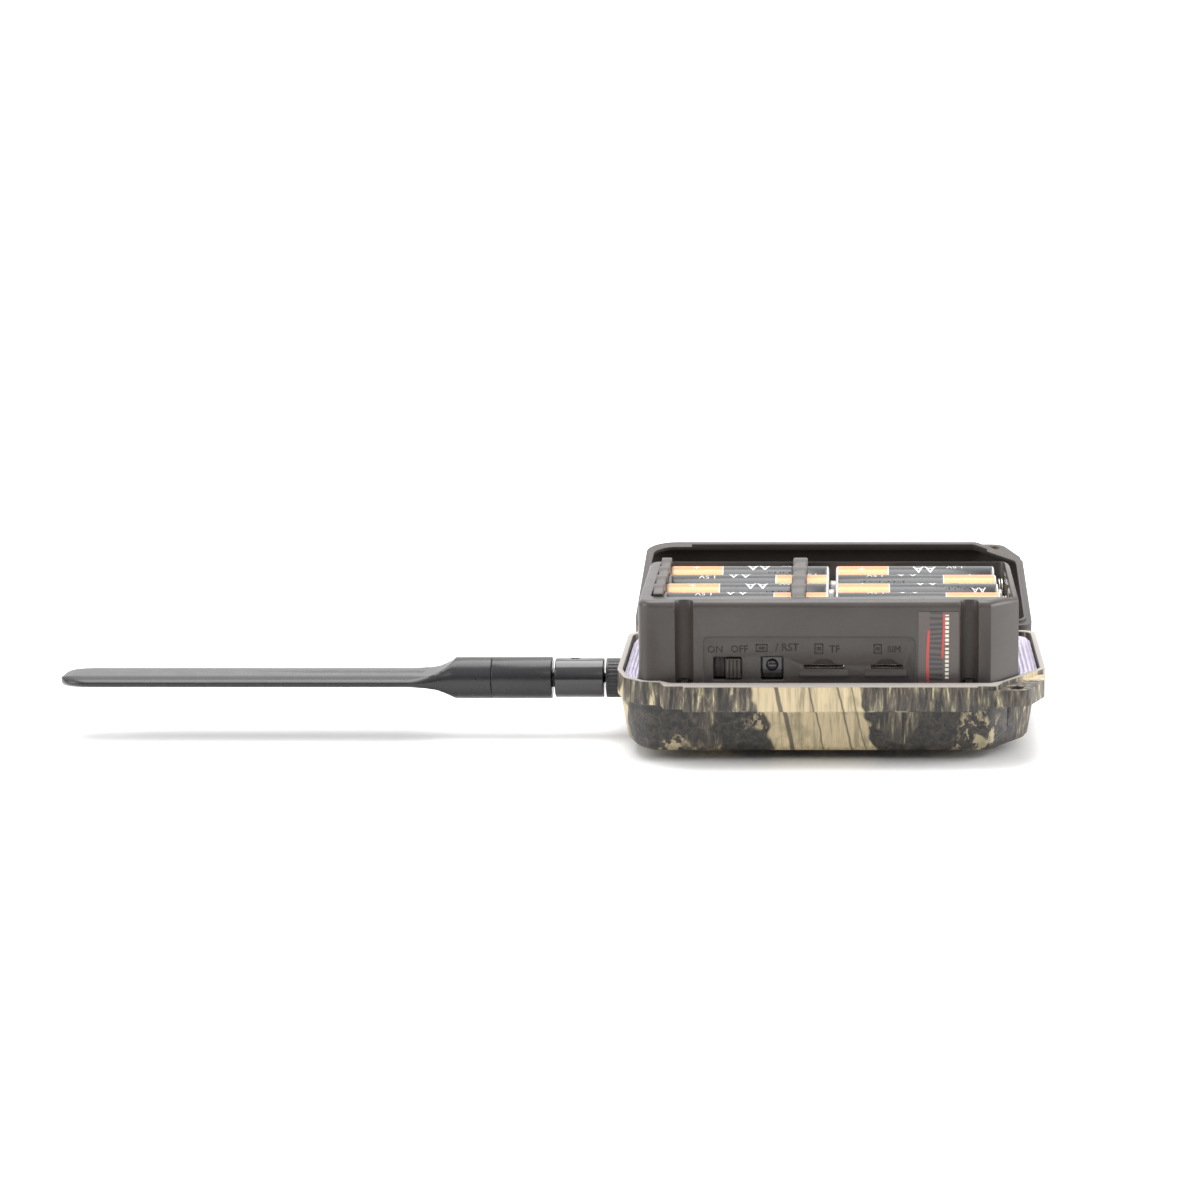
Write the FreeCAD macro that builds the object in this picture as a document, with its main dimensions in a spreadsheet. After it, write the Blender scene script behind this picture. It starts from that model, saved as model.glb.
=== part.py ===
import FreeCAD, Part
import math
import os
import re
import Sketcher

# Trail camera lying on its face with the rear cover swung open.
# X runs along the case from the antenna end (-X) to the tripod end (+X).
# Y runs from the latch side (-Y) to the hinge side (+Y), and Z points up.
# The origin is on the front face's raised panel, which is what the camera rests on.

Vector = FreeCAD.Vector
X_AXIS = Vector(1, 0, 0)
Y_AXIS = Vector(0, 1, 0)
Z_AXIS = Vector(0, 0, 1)

os.makedirs("parts", exist_ok=True)

DIMENSIONS = {
    # front shell
    "face_low": 3.0, "face_left": -60.0, "face_right": 58.5, "face_near": -38.0, "face_far": 36.0,
    "face_round": 3.0, "shell_wall": 2.2, "deck_top": 19.5, "draft": 2.0,
    "rim_low": 17.5, "rim_top": 24.5, "rim_left": -63.0, "rim_right": 63.4, "rim_far": 38.7,
    "ledge_near": -46.0, "ledge_half": 48.0,
    "band_near": -47.4, "band_half": 42.5, "band_low": 17.0,
    "lip_wall": 1.5, "channel_near": -42.0,
    "panel_half": 21.5, "panel_end": 50.0, "seat_depth": 1.9,
    # padlock eyes
    "eye_x": 54.0, "eye_y": -42.6, "eye_radius": 2.1, "eye_top": 23.2, "eye_low": 18.5,
    # hinge
    "hinge_y": 41.6, "hinge_z": 24.65, "knuckle_radius": 2.5, "hinge_pin_radius": 1.2,
    "pin_clearance": 0.05, "hinge_half": 46.0, "open_angle": 171.4,
    # rear cover, measured closed
    "lid_low": 24.8, "lid_top": 52.0, "lid_slope_start": 23.0, "lid_slope_end": 33.0, "lid_slope_z": 50.4,
    "lid_shoulder": 46.0, "lid_round": 6.0,
    "lid_wall": 1.6, "lid_room": 50.4, "tongue_depth": 0.9,
    # latch lever
    "latch_y": -49.8, "latch_z": 36.0, "latch_half": 17.0, "latch_pin_radius": 1.0, "latch_plate": 1.8,
    # inner housing
    "flange_low": 19.6, "flange_top": 21.6, "housing_left": -56.0, "housing_right": 55.0,
    "housing_near": -37.3, "housing_far": 32.0, "housing_top": 47.7,
    "bay_left": -52.4, "bay_right": 53.3, "bay_half": 30.3, "bay_floor": 33.2, "floor_thickness": 2.0,
    "housing_wall": 1.8, "gallery_top": 43.0, "gallery_far": -32.0,
    "channel_left_x": -42.5, "channel_right_x": 40.3, "channel_radius": 2.7,
    "screw_y": -36.05,
    # control panel
    "panel_left": -37.0, "panel_right": 24.6, "panel_low": 22.4, "panel_top": 37.1, "panel_depth": 1.0,
    # AA cells
    "cell_radius": 7.1, "cell_pitch": 15.0, "cell_axis": 40.4, "cell_can": 48.5,
    "nub_length": 1.8, "nub_radius": 2.7, "cell_left": -49.1, "cell_right": 1.4,
    "hump_outer": 9.7, "hump_inner": 7.4, "strap_left": -11.6, "strap_right": -7.2,
    # seal
    "seal_low": 21.7, "seal_top": 23.3,
    # main board
    "board_low": 24.4, "board_top": 26.0,
    # antenna
    "antenna_z": 17.4, "antenna_radius": 6.3, "base_radius": 6.0, "nut_radius": 5.95,
    "nut_left": -67.6, "base_left": -83.0, "base_right": -68.3, "tilt_x": -77.0,
    "sleeve_left": -102.0, "sleeve_right": -83.9, "scoop_left": -122.5, "scoop_right": -113.4,
    "blade_tip": -232.0, "blade_half": 10.0, "blade_thickness": 3.6, "fork_half": 2.4,
    # lens and sensors, by their place along the front face
    "lens_x": 15.0, "lens_radius": 7.5, "window_left": -46.0, "window_right": -14.0, "window_half": 17.5,
    "pir_x": 36.0, "pir_half": 9.5, "pir_tall": 12.0,
    # sockets in the tripod end
    "insert_z": 11.0, "insert_radius": 5.0, "thread_radius": 3.175, "insert_depth": 9.0,
    "jack_y": 20.0, "jack_z": 11.5, "jack_radius": 4.2, "barrel_radius": 2.75,
}

doc = FreeCAD.newDocument("TrailCamera")
sheet = doc.addObject("Spreadsheet::Sheet", "Dims")
for row, (alias, number) in enumerate(DIMENSIONS.items(), 1):
    sheet.set(f"A{row}", alias)
    sheet.set(f"B{row}", str(number))
    sheet.setAlias(f"B{row}", alias)
doc.recompute()

PLANES = {"XY": ("XY_Plane", 1), "XZ": ("XZ_Plane", -1), "YZ": ("YZ_Plane", 1)}
TURN = {
    "X": FreeCAD.Rotation(Y_AXIS, 90),
    "Y": FreeCAD.Rotation(X_AXIS, -90),
    "Z": FreeCAD.Rotation(),
}
nodes = {}


def bound(expression):
    """The expression with every dimension's name pointed at the sheet."""
    def point(match):
        word = match.group(0)
        return "Dims." + word if word in DIMENSIONS else word
    return re.sub(r"[a-z]\w*", point, str(expression))


def value(expression):
    return float(sheet.evalExpression(bound(expression)))


def bind(target, **expressions):
    for prop, expression in expressions.items():
        target.setExpression(prop.replace("__", "."), bound(expression))


def node(name, item):
    """Registers a finished piece under the name its file gets."""
    item.Label = name
    nodes[name] = item
    return item


# ---------------------------------------------------------------- sketches and pads

def new_body(name):
    return doc.addObject("PartDesign::Body", name)


def sketch_on(body, plane, level):
    """A sketch on one of the body's own origin planes, moved out to a level along its axis."""
    role, sign = PLANES[plane]
    sketch = body.newObject("Sketcher::SketchObject", "Outline")
    origin_plane = [item for item in body.Origin.OriginFeatures if item.Role == role][0]
    sketch.AttachmentSupport = [(origin_plane, "")]
    sketch.MapMode = "FlatFace"
    sketch.setExpression("AttachmentOffset.Base.z", bound(f"{sign} * ({level})"))
    return sketch


def polygon(sketch, points):
    """A closed outline: each point is (x, y) or (x, y, corner radius), all bound to the sheet."""
    corners = [(value(point[0]), value(point[1])) for point in points]
    count = len(corners)
    for index, (x, y) in enumerate(corners):
        next_x, next_y = corners[(index + 1) % count]
        sketch.addGeometry(Part.LineSegment(Vector(x, y, 0), Vector(next_x, next_y, 0)))
    for index in range(count):
        sketch.addConstraint(Sketcher.Constraint("Coincident", index, 2, (index + 1) % count, 1))
    for index, point in enumerate(points):
        for kind, number, expression in zip(("DistanceX", "DistanceY"), corners[index], point):
            place = sketch.addConstraint(Sketcher.Constraint(kind, -1, 1, index, 1, number))
            sketch.setExpression(f"Constraints[{place}]", bound(expression))
    for index, point in enumerate(points):
        if len(point) == 3:
            sketch.fillet(index, 1, value(point[2]), True, True)
            arc = sketch.GeometryCount - 2
            place = sketch.addConstraint(Sketcher.Constraint("Radius", arc, value(point[2])))
            sketch.setExpression(f"Constraints[{place}]", bound(point[2]))


def circle(sketch, x, y, radius):
    index = sketch.addGeometry(Part.Circle(Vector(value(x), value(y), 0), Z_AXIS, value(radius)))
    rules = (("DistanceX", -1, 1, index, 3, x), ("DistanceY", -1, 1, index, 3, y))
    for kind, first, first_point, second, second_point, expression in rules:
        rule = Sketcher.Constraint(kind, first, first_point, second, second_point, value(expression))
        place = sketch.addConstraint(rule)
        sketch.setExpression(f"Constraints[{place}]", bound(expression))
    place = sketch.addConstraint(Sketcher.Constraint("Radius", index, value(radius)))
    sketch.setExpression(f"Constraints[{place}]", bound(radius))


def draw(sketch, outline):
    if outline[0] == "circle":
        circle(sketch, *outline[1:])
    else:
        polygon(sketch, outline)


def pad(body, plane, outline, low, high):
    """Adds the outline to the body, from one level to another along the plane's axis."""
    reverse = PLANES[plane][1] < 0
    sketch = sketch_on(body, plane, high if reverse else low)
    draw(sketch, outline)
    feature = body.newObject("PartDesign::Pad", "Pad")
    feature.Profile = sketch
    bind(feature, Length=f"({high}) - ({low})")
    return feature


def pocket(body, plane, outline, low, high):
    """Cuts the outline out of the body between two levels, and checks that it cut something."""
    before = volume_of(body)
    reverse = PLANES[plane][1] < 0
    sketch = sketch_on(body, plane, low if reverse else high)
    draw(sketch, outline)
    feature = body.newObject("PartDesign::Pocket", "Pocket")
    feature.Profile = sketch
    bind(feature, Length=f"({high}) - ({low})")
    if volume_of(body) > before - 1e-3:
        raise RuntimeError(f"a pocket in {body.Label} cut nothing")
    return feature


def volume_of(body):
    doc.recompute()
    return body.Shape.Volume


def loft(body, stages):
    """A ruled loft through outlines that all have the same number of points."""
    sketches = []
    for outline, level in stages:
        sketch = sketch_on(body, "XY", level)
        draw(sketch, outline)
        sketches.append(sketch)
    feature = body.newObject("PartDesign::AdditiveLoft", "Loft")
    feature.Profile = sketches[0]
    feature.Sections = sketches[1:]
    feature.Ruled = True
    return feature


def fillet(body, radius, chosen):
    """Rounds the edges that the test picks out of the body's last feature."""
    doc.recompute()
    base = body.Tip
    names = [f"Edge{i}" for i, edge in enumerate(base.Shape.Edges, 1) if chosen(edge)]
    feature = body.newObject("PartDesign::Fillet", "Fillet")
    feature.Base = (base, names)
    bind(feature, Radius=radius)
    doc.recompute()
    if not feature.Shape.isValid() or "Invalid" in feature.State:
        raise RuntimeError(f"a fillet in {body.Label} failed")
    return feature


def prism(name, plane, outline, low, high):
    body = new_body(name)
    pad(body, plane, outline, low, high)
    return body


def rectangle(x_low, x_high, y_low, y_high, radius=None):
    corners = [(x_low, y_low), (x_high, y_low), (x_high, y_high), (x_low, y_high)]
    return [corner + (radius,) for corner in corners] if radius else corners


# ---------------------------------------------------------------- primitives and booleans

def block(x_low, x_high, y_low, y_high, z_low, z_high, name="Block"):
    item = doc.addObject("Part::Box", name)
    bind(item, Length=f"({x_high}) - ({x_low})", Width=f"({y_high}) - ({y_low})",
         Height=f"({z_high}) - ({z_low})", Placement__Base__x=x_low, Placement__Base__y=y_low,
         Placement__Base__z=z_low)
    return item


def rod(axis, x, y, z, radius, length, name="Rod"):
    """A cylinder that starts at (x, y, z) and runs along +X, +Y or +Z."""
    item = doc.addObject("Part::Cylinder", name)
    item.Placement = FreeCAD.Placement(Vector(), TURN[axis])
    bind(item, Radius=radius, Height=length, Placement__Base__x=x, Placement__Base__y=y,
         Placement__Base__z=z)
    return item


def fuse(*items):
    item = doc.addObject("Part::MultiFuse", "Fuse")
    item.Shapes = list(items)
    item.Refine = True
    return item


def cut(base, *tools):
    item = doc.addObject("Part::Cut", "Cut")
    item.Base = base
    item.Tool = tools[0] if len(tools) == 1 else fuse(*tools)
    return item


def common(*items):
    item = doc.addObject("Part::MultiCommon", "Common")
    item.Shapes = list(items)
    return item


def group(*items):
    item = doc.addObject("Part::Compound", "Group")
    item.Links = list(items)
    return item


def rounded(item, radius, chosen):
    """Part fillet on the edges that the test picks."""
    doc.recompute()
    feature = doc.addObject("Part::Fillet", "Rounded")
    feature.Base = item
    size = value(radius)
    feature.Edges = [(i, size, size) for i, edge in enumerate(item.Shape.Edges, 1) if chosen(edge)]
    doc.recompute()
    if not feature.Shape.isValid():
        raise RuntimeError(f"rounding {item.Label} failed")
    return feature


def coded(name, shape):
    item = doc.addObject("Part::Feature", name)
    item.Shape = shape
    return item


# ---------------------------------------------------------------- front shell

def case_rim(outer_near, inset="0"):
    """The case's outline at the parting line, with the ledge that carries the catch band."""
    inset = f"({inset})"
    left = f"rim_left + {inset}"
    right = f"rim_right - {inset}"
    far = f"rim_far - {inset}"
    return [
        (left, far, 8), (left, "-22", 12), (f"-60.3 + {inset}", "-33.5", 6), (f"-55 + {inset}", "-39", 4),
        ("-49.5", f"-40.3 + {inset}"), (f"{inset} - ledge_half", outer_near, 1),
        (f"ledge_half - {inset}", outer_near, 1), ("50", f"-40.3 + {inset}"),
        (right, "-20", 5), (right, far, 4),
    ]


# the ear outside the rim's latch-side corner, which carries the padlock hole
PADLOCK_EAR = [("43", "-39"), ("43", "-45.9"), ("50", "-47", 3), ("57", "-47", 5), ("62.6", "-33", 6),
               ("62.6", "-20")]


def knuckles(spans, web_low, web_high):
    """Hinge barrels with the webs that join them to a case half."""
    items = []
    for start, end in spans:
        items.append(rod("X", start, "hinge_y", "hinge_z", "knuckle_radius", f"({end}) - ({start})"))
        items.append(block(start, end, "rim_far - 1.2", "hinge_y", web_low, web_high))
    return items


ROOT_KNUCKLES = (("-hinge_half", "-30"), ("-8", "8"), ("30", "hinge_half"))
COVER_KNUCKLES = (("-29.6", "-8.4"), ("8.4", "29.6"))


def face_outline(inset, spread="0"):
    """The front shell's walls at one level; spread is how far the draft has opened them."""
    left = f"face_left + {inset} - {spread}"
    right = f"face_right - {inset} + {spread}"
    far = f"face_far - {inset} + {spread}"
    near = f"face_near + {inset} - {spread} * 0.4"
    return [
        (left, far, 5), (left, "-24", 6),
        (f"-57 + {inset} - {spread}", f"-33 + {inset} * 0.6 - {spread} * 0.4", 6),
        (f"-52.5 + {inset} * 0.6 - {spread} * 0.7", near, 4), ("46", near, 3),
        (right, "-19.2", 4), (right, far, 5),
    ]


def front_shell():
    body = new_body("FrontBody")
    edge = value("face_round")
    stages = []
    for share in (0.0, 0.35, 0.7, 1.0):
        angle = share * math.pi / 2
        level = f"face_low + {edge * (1 - math.cos(angle))}"
        stages.append((face_outline(edge * (1 - math.sin(angle))), level))
    stages.append((face_outline(0, "draft"), "rim_low + 0.5"))
    loft(body, stages)
    pad(body, "XY", case_rim("ledge_near"), "rim_low", "rim_top")
    catch_band = rectangle("-band_half", "band_half", "band_near", "ledge_near + 1")
    pad(body, "XY", catch_band, "band_low", "rim_top")
    raised_panel = rectangle("-panel_end", "panel_end", "-panel_half", "panel_half", 6)
    pad(body, "XY", raised_panel, "0", "face_low + 0.5")
    pad(body, "XY", PADLOCK_EAR, "eye_low", "eye_top")
    cavity = [
        ("face_left + shell_wall", "face_far - shell_wall", 4), ("face_left + shell_wall", "-24", 4),
        ("-55", "-32"), ("-51.5", "face_near + shell_wall"), ("45", "face_near + shell_wall"),
        ("face_right - shell_wall", "-18"), ("face_right - shell_wall", "face_far - shell_wall", 4),
    ]
    pocket(body, "XY", cavity, "face_low + shell_wall", "deck_top + 0.1")
    channel = case_rim("channel_near", "lip_wall")
    pocket(body, "XY", channel, "deck_top", "rim_top")
    pocket(body, "XY", ("circle", "eye_x", "eye_y", "eye_radius"), "eye_low - 1", "rim_top")
    # openings in the raised face, each a seat with a smaller hole behind it
    through = "face_low + shell_wall + 1"
    window_seat = rectangle("window_left - 1", "window_right + 1", "-window_half - 1", "window_half + 1", 2.5)
    window_hole = rectangle("window_left + 1.5", "window_right - 1.5", "1.5 - window_half",
                            "window_half - 1.5", 2)
    pir_seat = rectangle("pir_x - pir_half", "pir_x + pir_half", "-pir_tall", "pir_tall", 6)
    pir_hole = rectangle("pir_x - pir_half + 1.5", "pir_x + pir_half - 1.5", "1.5 - pir_tall",
                         "pir_tall - 1.5", 5)
    for seat, hole in ((window_seat, window_hole), (pir_seat, pir_hole)):
        pocket(body, "XY", seat, "0", "seat_depth")
        pocket(body, "XY", hole, "seat_depth - 0.1", through)
    for x, y, radius in (("lens_x", "0", "lens_radius + 0.2"), ("lens_x", "14", 1.6), ("lens_x", "-14", 1.1),
                         ("lens_x", "18", 1.6)):
        pocket(body, "XY", ("circle", x, y, radius), "0", through)
    # holes in the ends: antenna jack, tripod insert, power jack
    pocket(body, "YZ", ("circle", "0", "antenna_z", "3.25"), "-66", "-50")
    pocket(body, "YZ", ("circle", "0", "insert_z", "insert_radius"), "face_right - 4", "65")
    pocket(body, "YZ", ("circle", "jack_y", "jack_z", "jack_radius"), "face_right - 4", "65")
    # flat seat for the antenna nut
    pocket(body, "YZ", ("circle", "0", "antenna_z", "nut_radius + 0.6"), "-66", "-62.6")
    doc.recompute()
    barrels = knuckles(ROOT_KNUCKLES, "hinge_z - 4.2", "hinge_z - 0.4")
    corner_groove = block("51.8", "53.2", "-31.5", "-29.5", "5.5", "rim_low")
    whole = fuse(body, *barrels)
    pin_hole = rod("X", "-60", "hinge_y", "hinge_z", "hinge_pin_radius", "120")
    return node("front_shell", cut(whole, pin_hole, corner_groove))


front_shell()


# ---------------------------------------------------------------- inner housing and its seal

def housing_outline(grow="0"):
    near = f"housing_near - {grow}"
    left = f"housing_left - {grow}"
    right = f"housing_right + {grow}"
    far = f"housing_far + {grow}"
    return [(left, far, 3), (left, near, 4.5), ("46.5", near), (right, "-28.5"), (right, far, 3)]


def inner_housing():
    body = new_body("HousingBody")
    flange = case_rim("channel_near + 0.2", "lip_wall + 0.2")
    pad(body, "XY", flange, "flange_low", "flange_top")
    pad(body, "XY", housing_outline(), "flange_low", "housing_top")
    # round-shouldered top edge on the latch side
    fillet(body, 2.0, lambda edge: edge.BoundBox.ZMin > value("housing_top") - 0.01
           and edge.BoundBox.YMin < value("housing_near") + 0.3)
    bay = rectangle("bay_left", "bay_right", "-bay_half", "bay_half", 2)
    pocket(body, "XY", bay, "bay_floor", "housing_top")
    # hollow underside, and the gallery behind the control panel
    under = rectangle("housing_left + housing_wall", "housing_right - housing_wall - 6",
                      "housing_near + housing_wall + panel_depth + 0.2", "housing_far - housing_wall", 2)
    pocket(body, "XY", under, "flange_low", "bay_floor - floor_thickness")
    gallery = rectangle("panel_left - 1.8", "panel_right + 10",
                        "housing_near + housing_wall + panel_depth + 0.2", "gallery_far")
    pocket(body, "XY", gallery, "bay_floor - floor_thickness - 0.1", "gallery_top")
    # screw channels down the latch-side wall
    for x in ("channel_left_x", "channel_right_x"):
        channel = ("circle", x, "housing_near + 0.1", "channel_radius")
        pocket(body, "XY", channel, "flange_top + 1.2", "housing_top")
    panel = [("panel_left", "panel_low"), ("panel_right", "panel_low"),
             ("panel_right", "panel_top", 1.6), ("panel_left", "panel_top", 1.6)]
    pocket(body, "XZ", panel, "housing_near - 1", "housing_near + panel_depth")
    # switch and button windows, card slots
    floor = "housing_near + panel_depth"
    through = "housing_near + panel_depth + housing_wall + 0.6"
    switch_window = rectangle("-34.1", "-25.9", "24.3", "31.0", 0.4)
    button_window = rectangle("-20.3", "-13.7", "24.2", "31.2", 0.4)
    for window in (switch_window, button_window):
        pocket(body, "XZ", window, f"{floor} - 0.5", through)
    for x_low, x_high in (("-7.7", "4.0"), ("11.8", "21.1")):
        pocket(body, "XZ", rectangle(x_low, x_high, "27.4", "28.6"), f"{floor} - 0.5", through)
        middle = f"(({x_low}) + ({x_high})) / 2"
        notch = [(f"{middle} - 3.6", "28.5"), (f"{middle} + 3.6", "28.5"),
                 (f"{middle} + 1.6", "30.2", 1.2), (f"{middle} - 1.6", "30.2", 1.2)]
        pocket(body, "XZ", notch, f"{floor} - 0.5", f"{floor} + 0.9")
    # seats for the cell strap in the bay's side walls
    for y_low, y_high in (("-32.6", "-bay_half + 0.2"), ("bay_half - 0.2", "33")):
        seat = rectangle("strap_left - 0.1", "strap_right + 0.1", y_low, y_high)
        pocket(body, "XY", seat, "cell_axis + 4.9", "housing_top")
    doc.recompute()
    lips = []
    for x_low, x_high in (("-8.9", "5.1"), ("10.0", "22.2")):
        wedge = [(floor, "25.4"), (f"{floor} - 0.9", "25.4"), (f"{floor} - 0.9", "26.2"), (floor, "27.3")]
        lips.append(prism("CardLip", "YZ", wedge, x_low, x_high))
    posts = [rod("Z", x, "screw_y", "flange_low - 1", 1.05, "6")
             for x in ("channel_left_x", "channel_right_x")]
    jack_notch = block("-64", "-53.9", "-3.6", "3.6", "flange_low - 1", "antenna_z + 3.5")
    return node("inner_housing", cut(fuse(body, *lips), *posts, jack_notch))


def rim_gasket():
    body = new_body("GasketBody")
    outline = case_rim("channel_near + 0.4", "lip_wall + 0.4")
    pad(body, "XY", outline, "seal_low", "seal_top")
    pocket(body, "XY", housing_outline("0.4"), "seal_low", "seal_top")
    return node("rim_gasket", body)


inner_housing()
rim_gasket()


# ---------------------------------------------------------------- AA cells, contacts and straps

ROWS = (1.5, 0.5, -0.5, -1.5)


def battery_cells():
    """Two columns of four cells; the plus end changes side from row to row."""
    number = 1
    for start in ("cell_left", "cell_right"):
        for index, step in enumerate(ROWS):
            y = f"cell_pitch * {step}"
            plus_left = index % 2 == 0
            can = rod("X", start, y, "cell_axis", "cell_radius", "cell_can")
            can = rounded(can, 0.6, lambda edge: edge.Curve.TypeId == "Part::GeomCircle")
            nub_x = f"{start} - nub_length" if plus_left else f"{start} + cell_can - 0.2"
            nub = rod("X", nub_x, y, "cell_axis", "nub_radius", "nub_length + 0.2")
            node(f"battery_cell_{number}", fuse(can, nub))
            number += 1


def humped_bar(x_low, x_high, y_half, foot):
    """A bar of four arches, one over each cell, trimmed off above the cells' sides."""
    outer = [rod("X", x_low, f"cell_pitch * {step}", "cell_axis", "hump_outer", f"({x_high}) - ({x_low})")
             for step in ROWS]
    inner = [rod("X", f"{x_low} - 1", f"cell_pitch * {step}", "cell_axis", "hump_inner", "60")
             for step in ROWS]
    feet = block(x_low, x_high, f"-({y_half})", y_half, f"cell_axis + 5", f"cell_axis + {foot}")
    keep = block(x_low, x_high, f"-({y_half})", y_half, "cell_axis + 5", "cell_axis + 12")
    return common(cut(fuse(*outer, feet), *inner), keep)


def spring_path(coil, turns, length):
    """A rising coil made of quarter-turn arcs."""
    arcs = []
    count = 4 * turns
    for quarter in range(count):
        points = []
        for share in (0, 0.5, 1):
            angle = math.pi / 2 * (quarter + share)
            height = length * (quarter + share) / count
            points.append(Vector(coil * math.cos(angle), coil * math.sin(angle), height))
        arcs.append(Part.Arc(*points).toShape())
    return Part.Wire(arcs)


def contact_spring(x, y, length, wire=0.25, coil=3.2, turns=2):
    """A short coil seen end-on at the cell's flat end."""
    profile = Part.Wire([Part.makeCircle(wire, Vector(coil, 0, 0), Y_AXIS)])
    coil_shape = spring_path(coil, turns, length).makePipeShell([profile], True, True)
    coil_shape.Placement = FreeCAD.Placement(Vector(x, y, value("cell_axis")), TURN["X"])
    return coil_shape


def contacts():
    springs = []
    plates = []
    for index, step in enumerate(ROWS):
        y = value(f"cell_pitch * {step}")
        plus_left = index % 2 == 0
        spring_x = value("bay_right - 2.35") if plus_left else value("bay_left + 0.75")
        springs.append(contact_spring(spring_x, y, length=1.6 if plus_left else 2.0))
        for x in ("bay_left", "bay_right - 0.4"):
            plate = block(x, f"{x} + 0.4", f"{y} - 4.6", f"{y} + 4.6", "cell_axis - 5", "cell_axis + 5")
            plates.append(plate)
    node("contact_springs", coded("Springs", Part.makeCompound(springs)))
    node("contact_plates", group(*plates))


battery_cells()
node("cell_strap", humped_bar("strap_left", "strap_right", "32.4", "7"))
node("cell_end_guard", humped_bar("-51.8", "-48.9", "bay_half - 2", "5.6"))
contacts()


# ---------------------------------------------------------------- rear cover, modelled closed

def lid_outline(inset, near):
    """The cover's outline: fuller at the latch-side corners than the front shell's rim."""
    inset = f"({inset})"
    left = f"rim_left + 0.8 + {inset}"
    right = f"rim_right - 0.2 - {inset}"
    far = f"rim_far - {inset}"
    return [(left, far, 8), (left, near, f"10 - {inset}"), (f"ledge_half + 0.4 - {inset} * 0.4", near, 2),
            (right, f"-26.3 + {inset} * 0.4", 4), (right, far, 4)]


def lid_block(inset, low, top, thinner):
    """The cover's bulk: what its outline, crowned side view and round-shouldered end view share."""
    inset = f"({inset})"
    slope_drop = f"({thinner}) * 1.02"
    near = f"ledge_near + {inset}"
    side_view = [
        (f"{near} - 1", low), ("rim_far + 1", low),
        (f"rim_far + 1 - {thinner}", f"lid_shoulder - {slope_drop}", 3),
        ("lid_slope_end", f"lid_slope_z - {slope_drop}", 8), ("lid_slope_start", top, 30),
        (f"{near} - 1", top, "lid_round"),
    ]
    end_view = [(f"rim_left - 1 + {inset}", low), (f"rim_right + 1 - {inset}", low),
                (f"rim_right - 0.6 - {inset}", top, "lid_round"),
                (f"rim_left + 0.6 + {inset}", top, "lid_round")]
    return common(prism("LidPlan", "XY", lid_outline(inset, near), low, "lid_top + 4"),
                  prism("LidSide", "YZ", side_view, "-66", "66"),
                  prism("LidEnd", "XZ", end_view, "-60", "60"))


def lid_ring(outer_inset, outer_near, inner_inset, inner_near, low, high):
    ring = new_body("LidRing")
    pad(ring, "XY", lid_outline(outer_inset, outer_near), low, high)
    pocket(ring, "XY", lid_outline(inner_inset, inner_near), low, high)
    return ring


def rear_cover():
    outer = lid_block("0.2", "lid_low", "lid_top", "0")
    inner = lid_block("lid_wall + 0.2", "lid_low - 1", "lid_room", "lid_wall")
    # flat rim that reaches in over the seal, and the tongue that presses on it
    web = lid_ring("0.2", "ledge_near + 0.2", "2.6", "channel_near + 1.5", "lid_low", "lid_low + 1.1")
    tongue = lid_ring("1.7", "channel_near + 0.4", "2.6", "channel_near + 1.5", "lid_low - tongue_depth",
                      "lid_low + 0.3")
    seal_room = case_rim("channel_near + 0.35", "lip_wall + 0.6")
    tongue = common(tongue, prism("SealRoom", "XY", seal_room, "lid_low - 2", "lid_low + 2"))
    ear = prism("CoverEar", "XY", PADLOCK_EAR, "lid_low + 1.2", "lid_low + 6.5")
    barrels = knuckles(COVER_KNUCKLES, "hinge_z + 0.4", "hinge_z + 4.2")
    lugs = []
    for x in ("-latch_half - 3", "latch_half + 0.3"):
        lug = fuse(rod("X", x, "latch_y", "latch_z", 2.4, 2.7),
                   block(x, f"{x} + 2.7", "latch_y", "ledge_near + 1", "latch_z - 2.4", "latch_z + 2.4"))
        lugs.append(lug)
    shell = cut(fuse(outer, ear), inner)
    shell = cut(fuse(shell, web, tongue, *barrels, *lugs),
                rod("Z", "eye_x", "eye_y", "lid_low", "eye_radius", "8"),
                rod("X", "-60", "hinge_y", "hinge_z", "hinge_pin_radius + pin_clearance", "120"),
                rod("X", "-60", "latch_y", "latch_z", "latch_pin_radius", "120"))
    return node("rear_cover", shell)


def latch_lever():
    """The lever as it closes the case: a plate with a hook that goes under the catch band."""
    far = "latch_y - 0.6"
    profile = [
        ("latch_y - 2.3", "latch_z + 2"), ("latch_y + 1.2", "latch_z + 2", 1.4),
        ("latch_y + 1.2", "latch_z - 3"),
        (far, "latch_z - 6"), (far, "band_low - 0.6"), ("band_near + 1.2", "band_low - 0.6"),
        ("band_near + 1.2", "band_low - 2"), (f"{far} - latch_plate", "band_low - 2.6", 1.2),
        (f"{far} - latch_plate - 1.6", "band_low - 6.5"), (f"{far} - latch_plate - 2.6", "band_low - 6.2"),
        ("latch_y - 2.5", "band_low - 1"),
    ]
    plate = prism("LeverPlate", "YZ", profile, "-latch_half", "latch_half")
    bore = rod("X", "-60", "latch_y", "latch_z", "latch_pin_radius + pin_clearance", "120")
    return node("latch_lever", cut(plate, bore))


rear_cover()
latch_lever()
node("latch_pin", rod("X", "-latch_half - 3", "latch_y", "latch_z", "latch_pin_radius", "2 * latch_half + 6"))
node("hinge_pin", rod("X", "-hinge_half", "hinge_y", "hinge_z", "hinge_pin_radius", "2 * hinge_half"))


# ---------------------------------------------------------------- controls and card sockets

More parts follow.
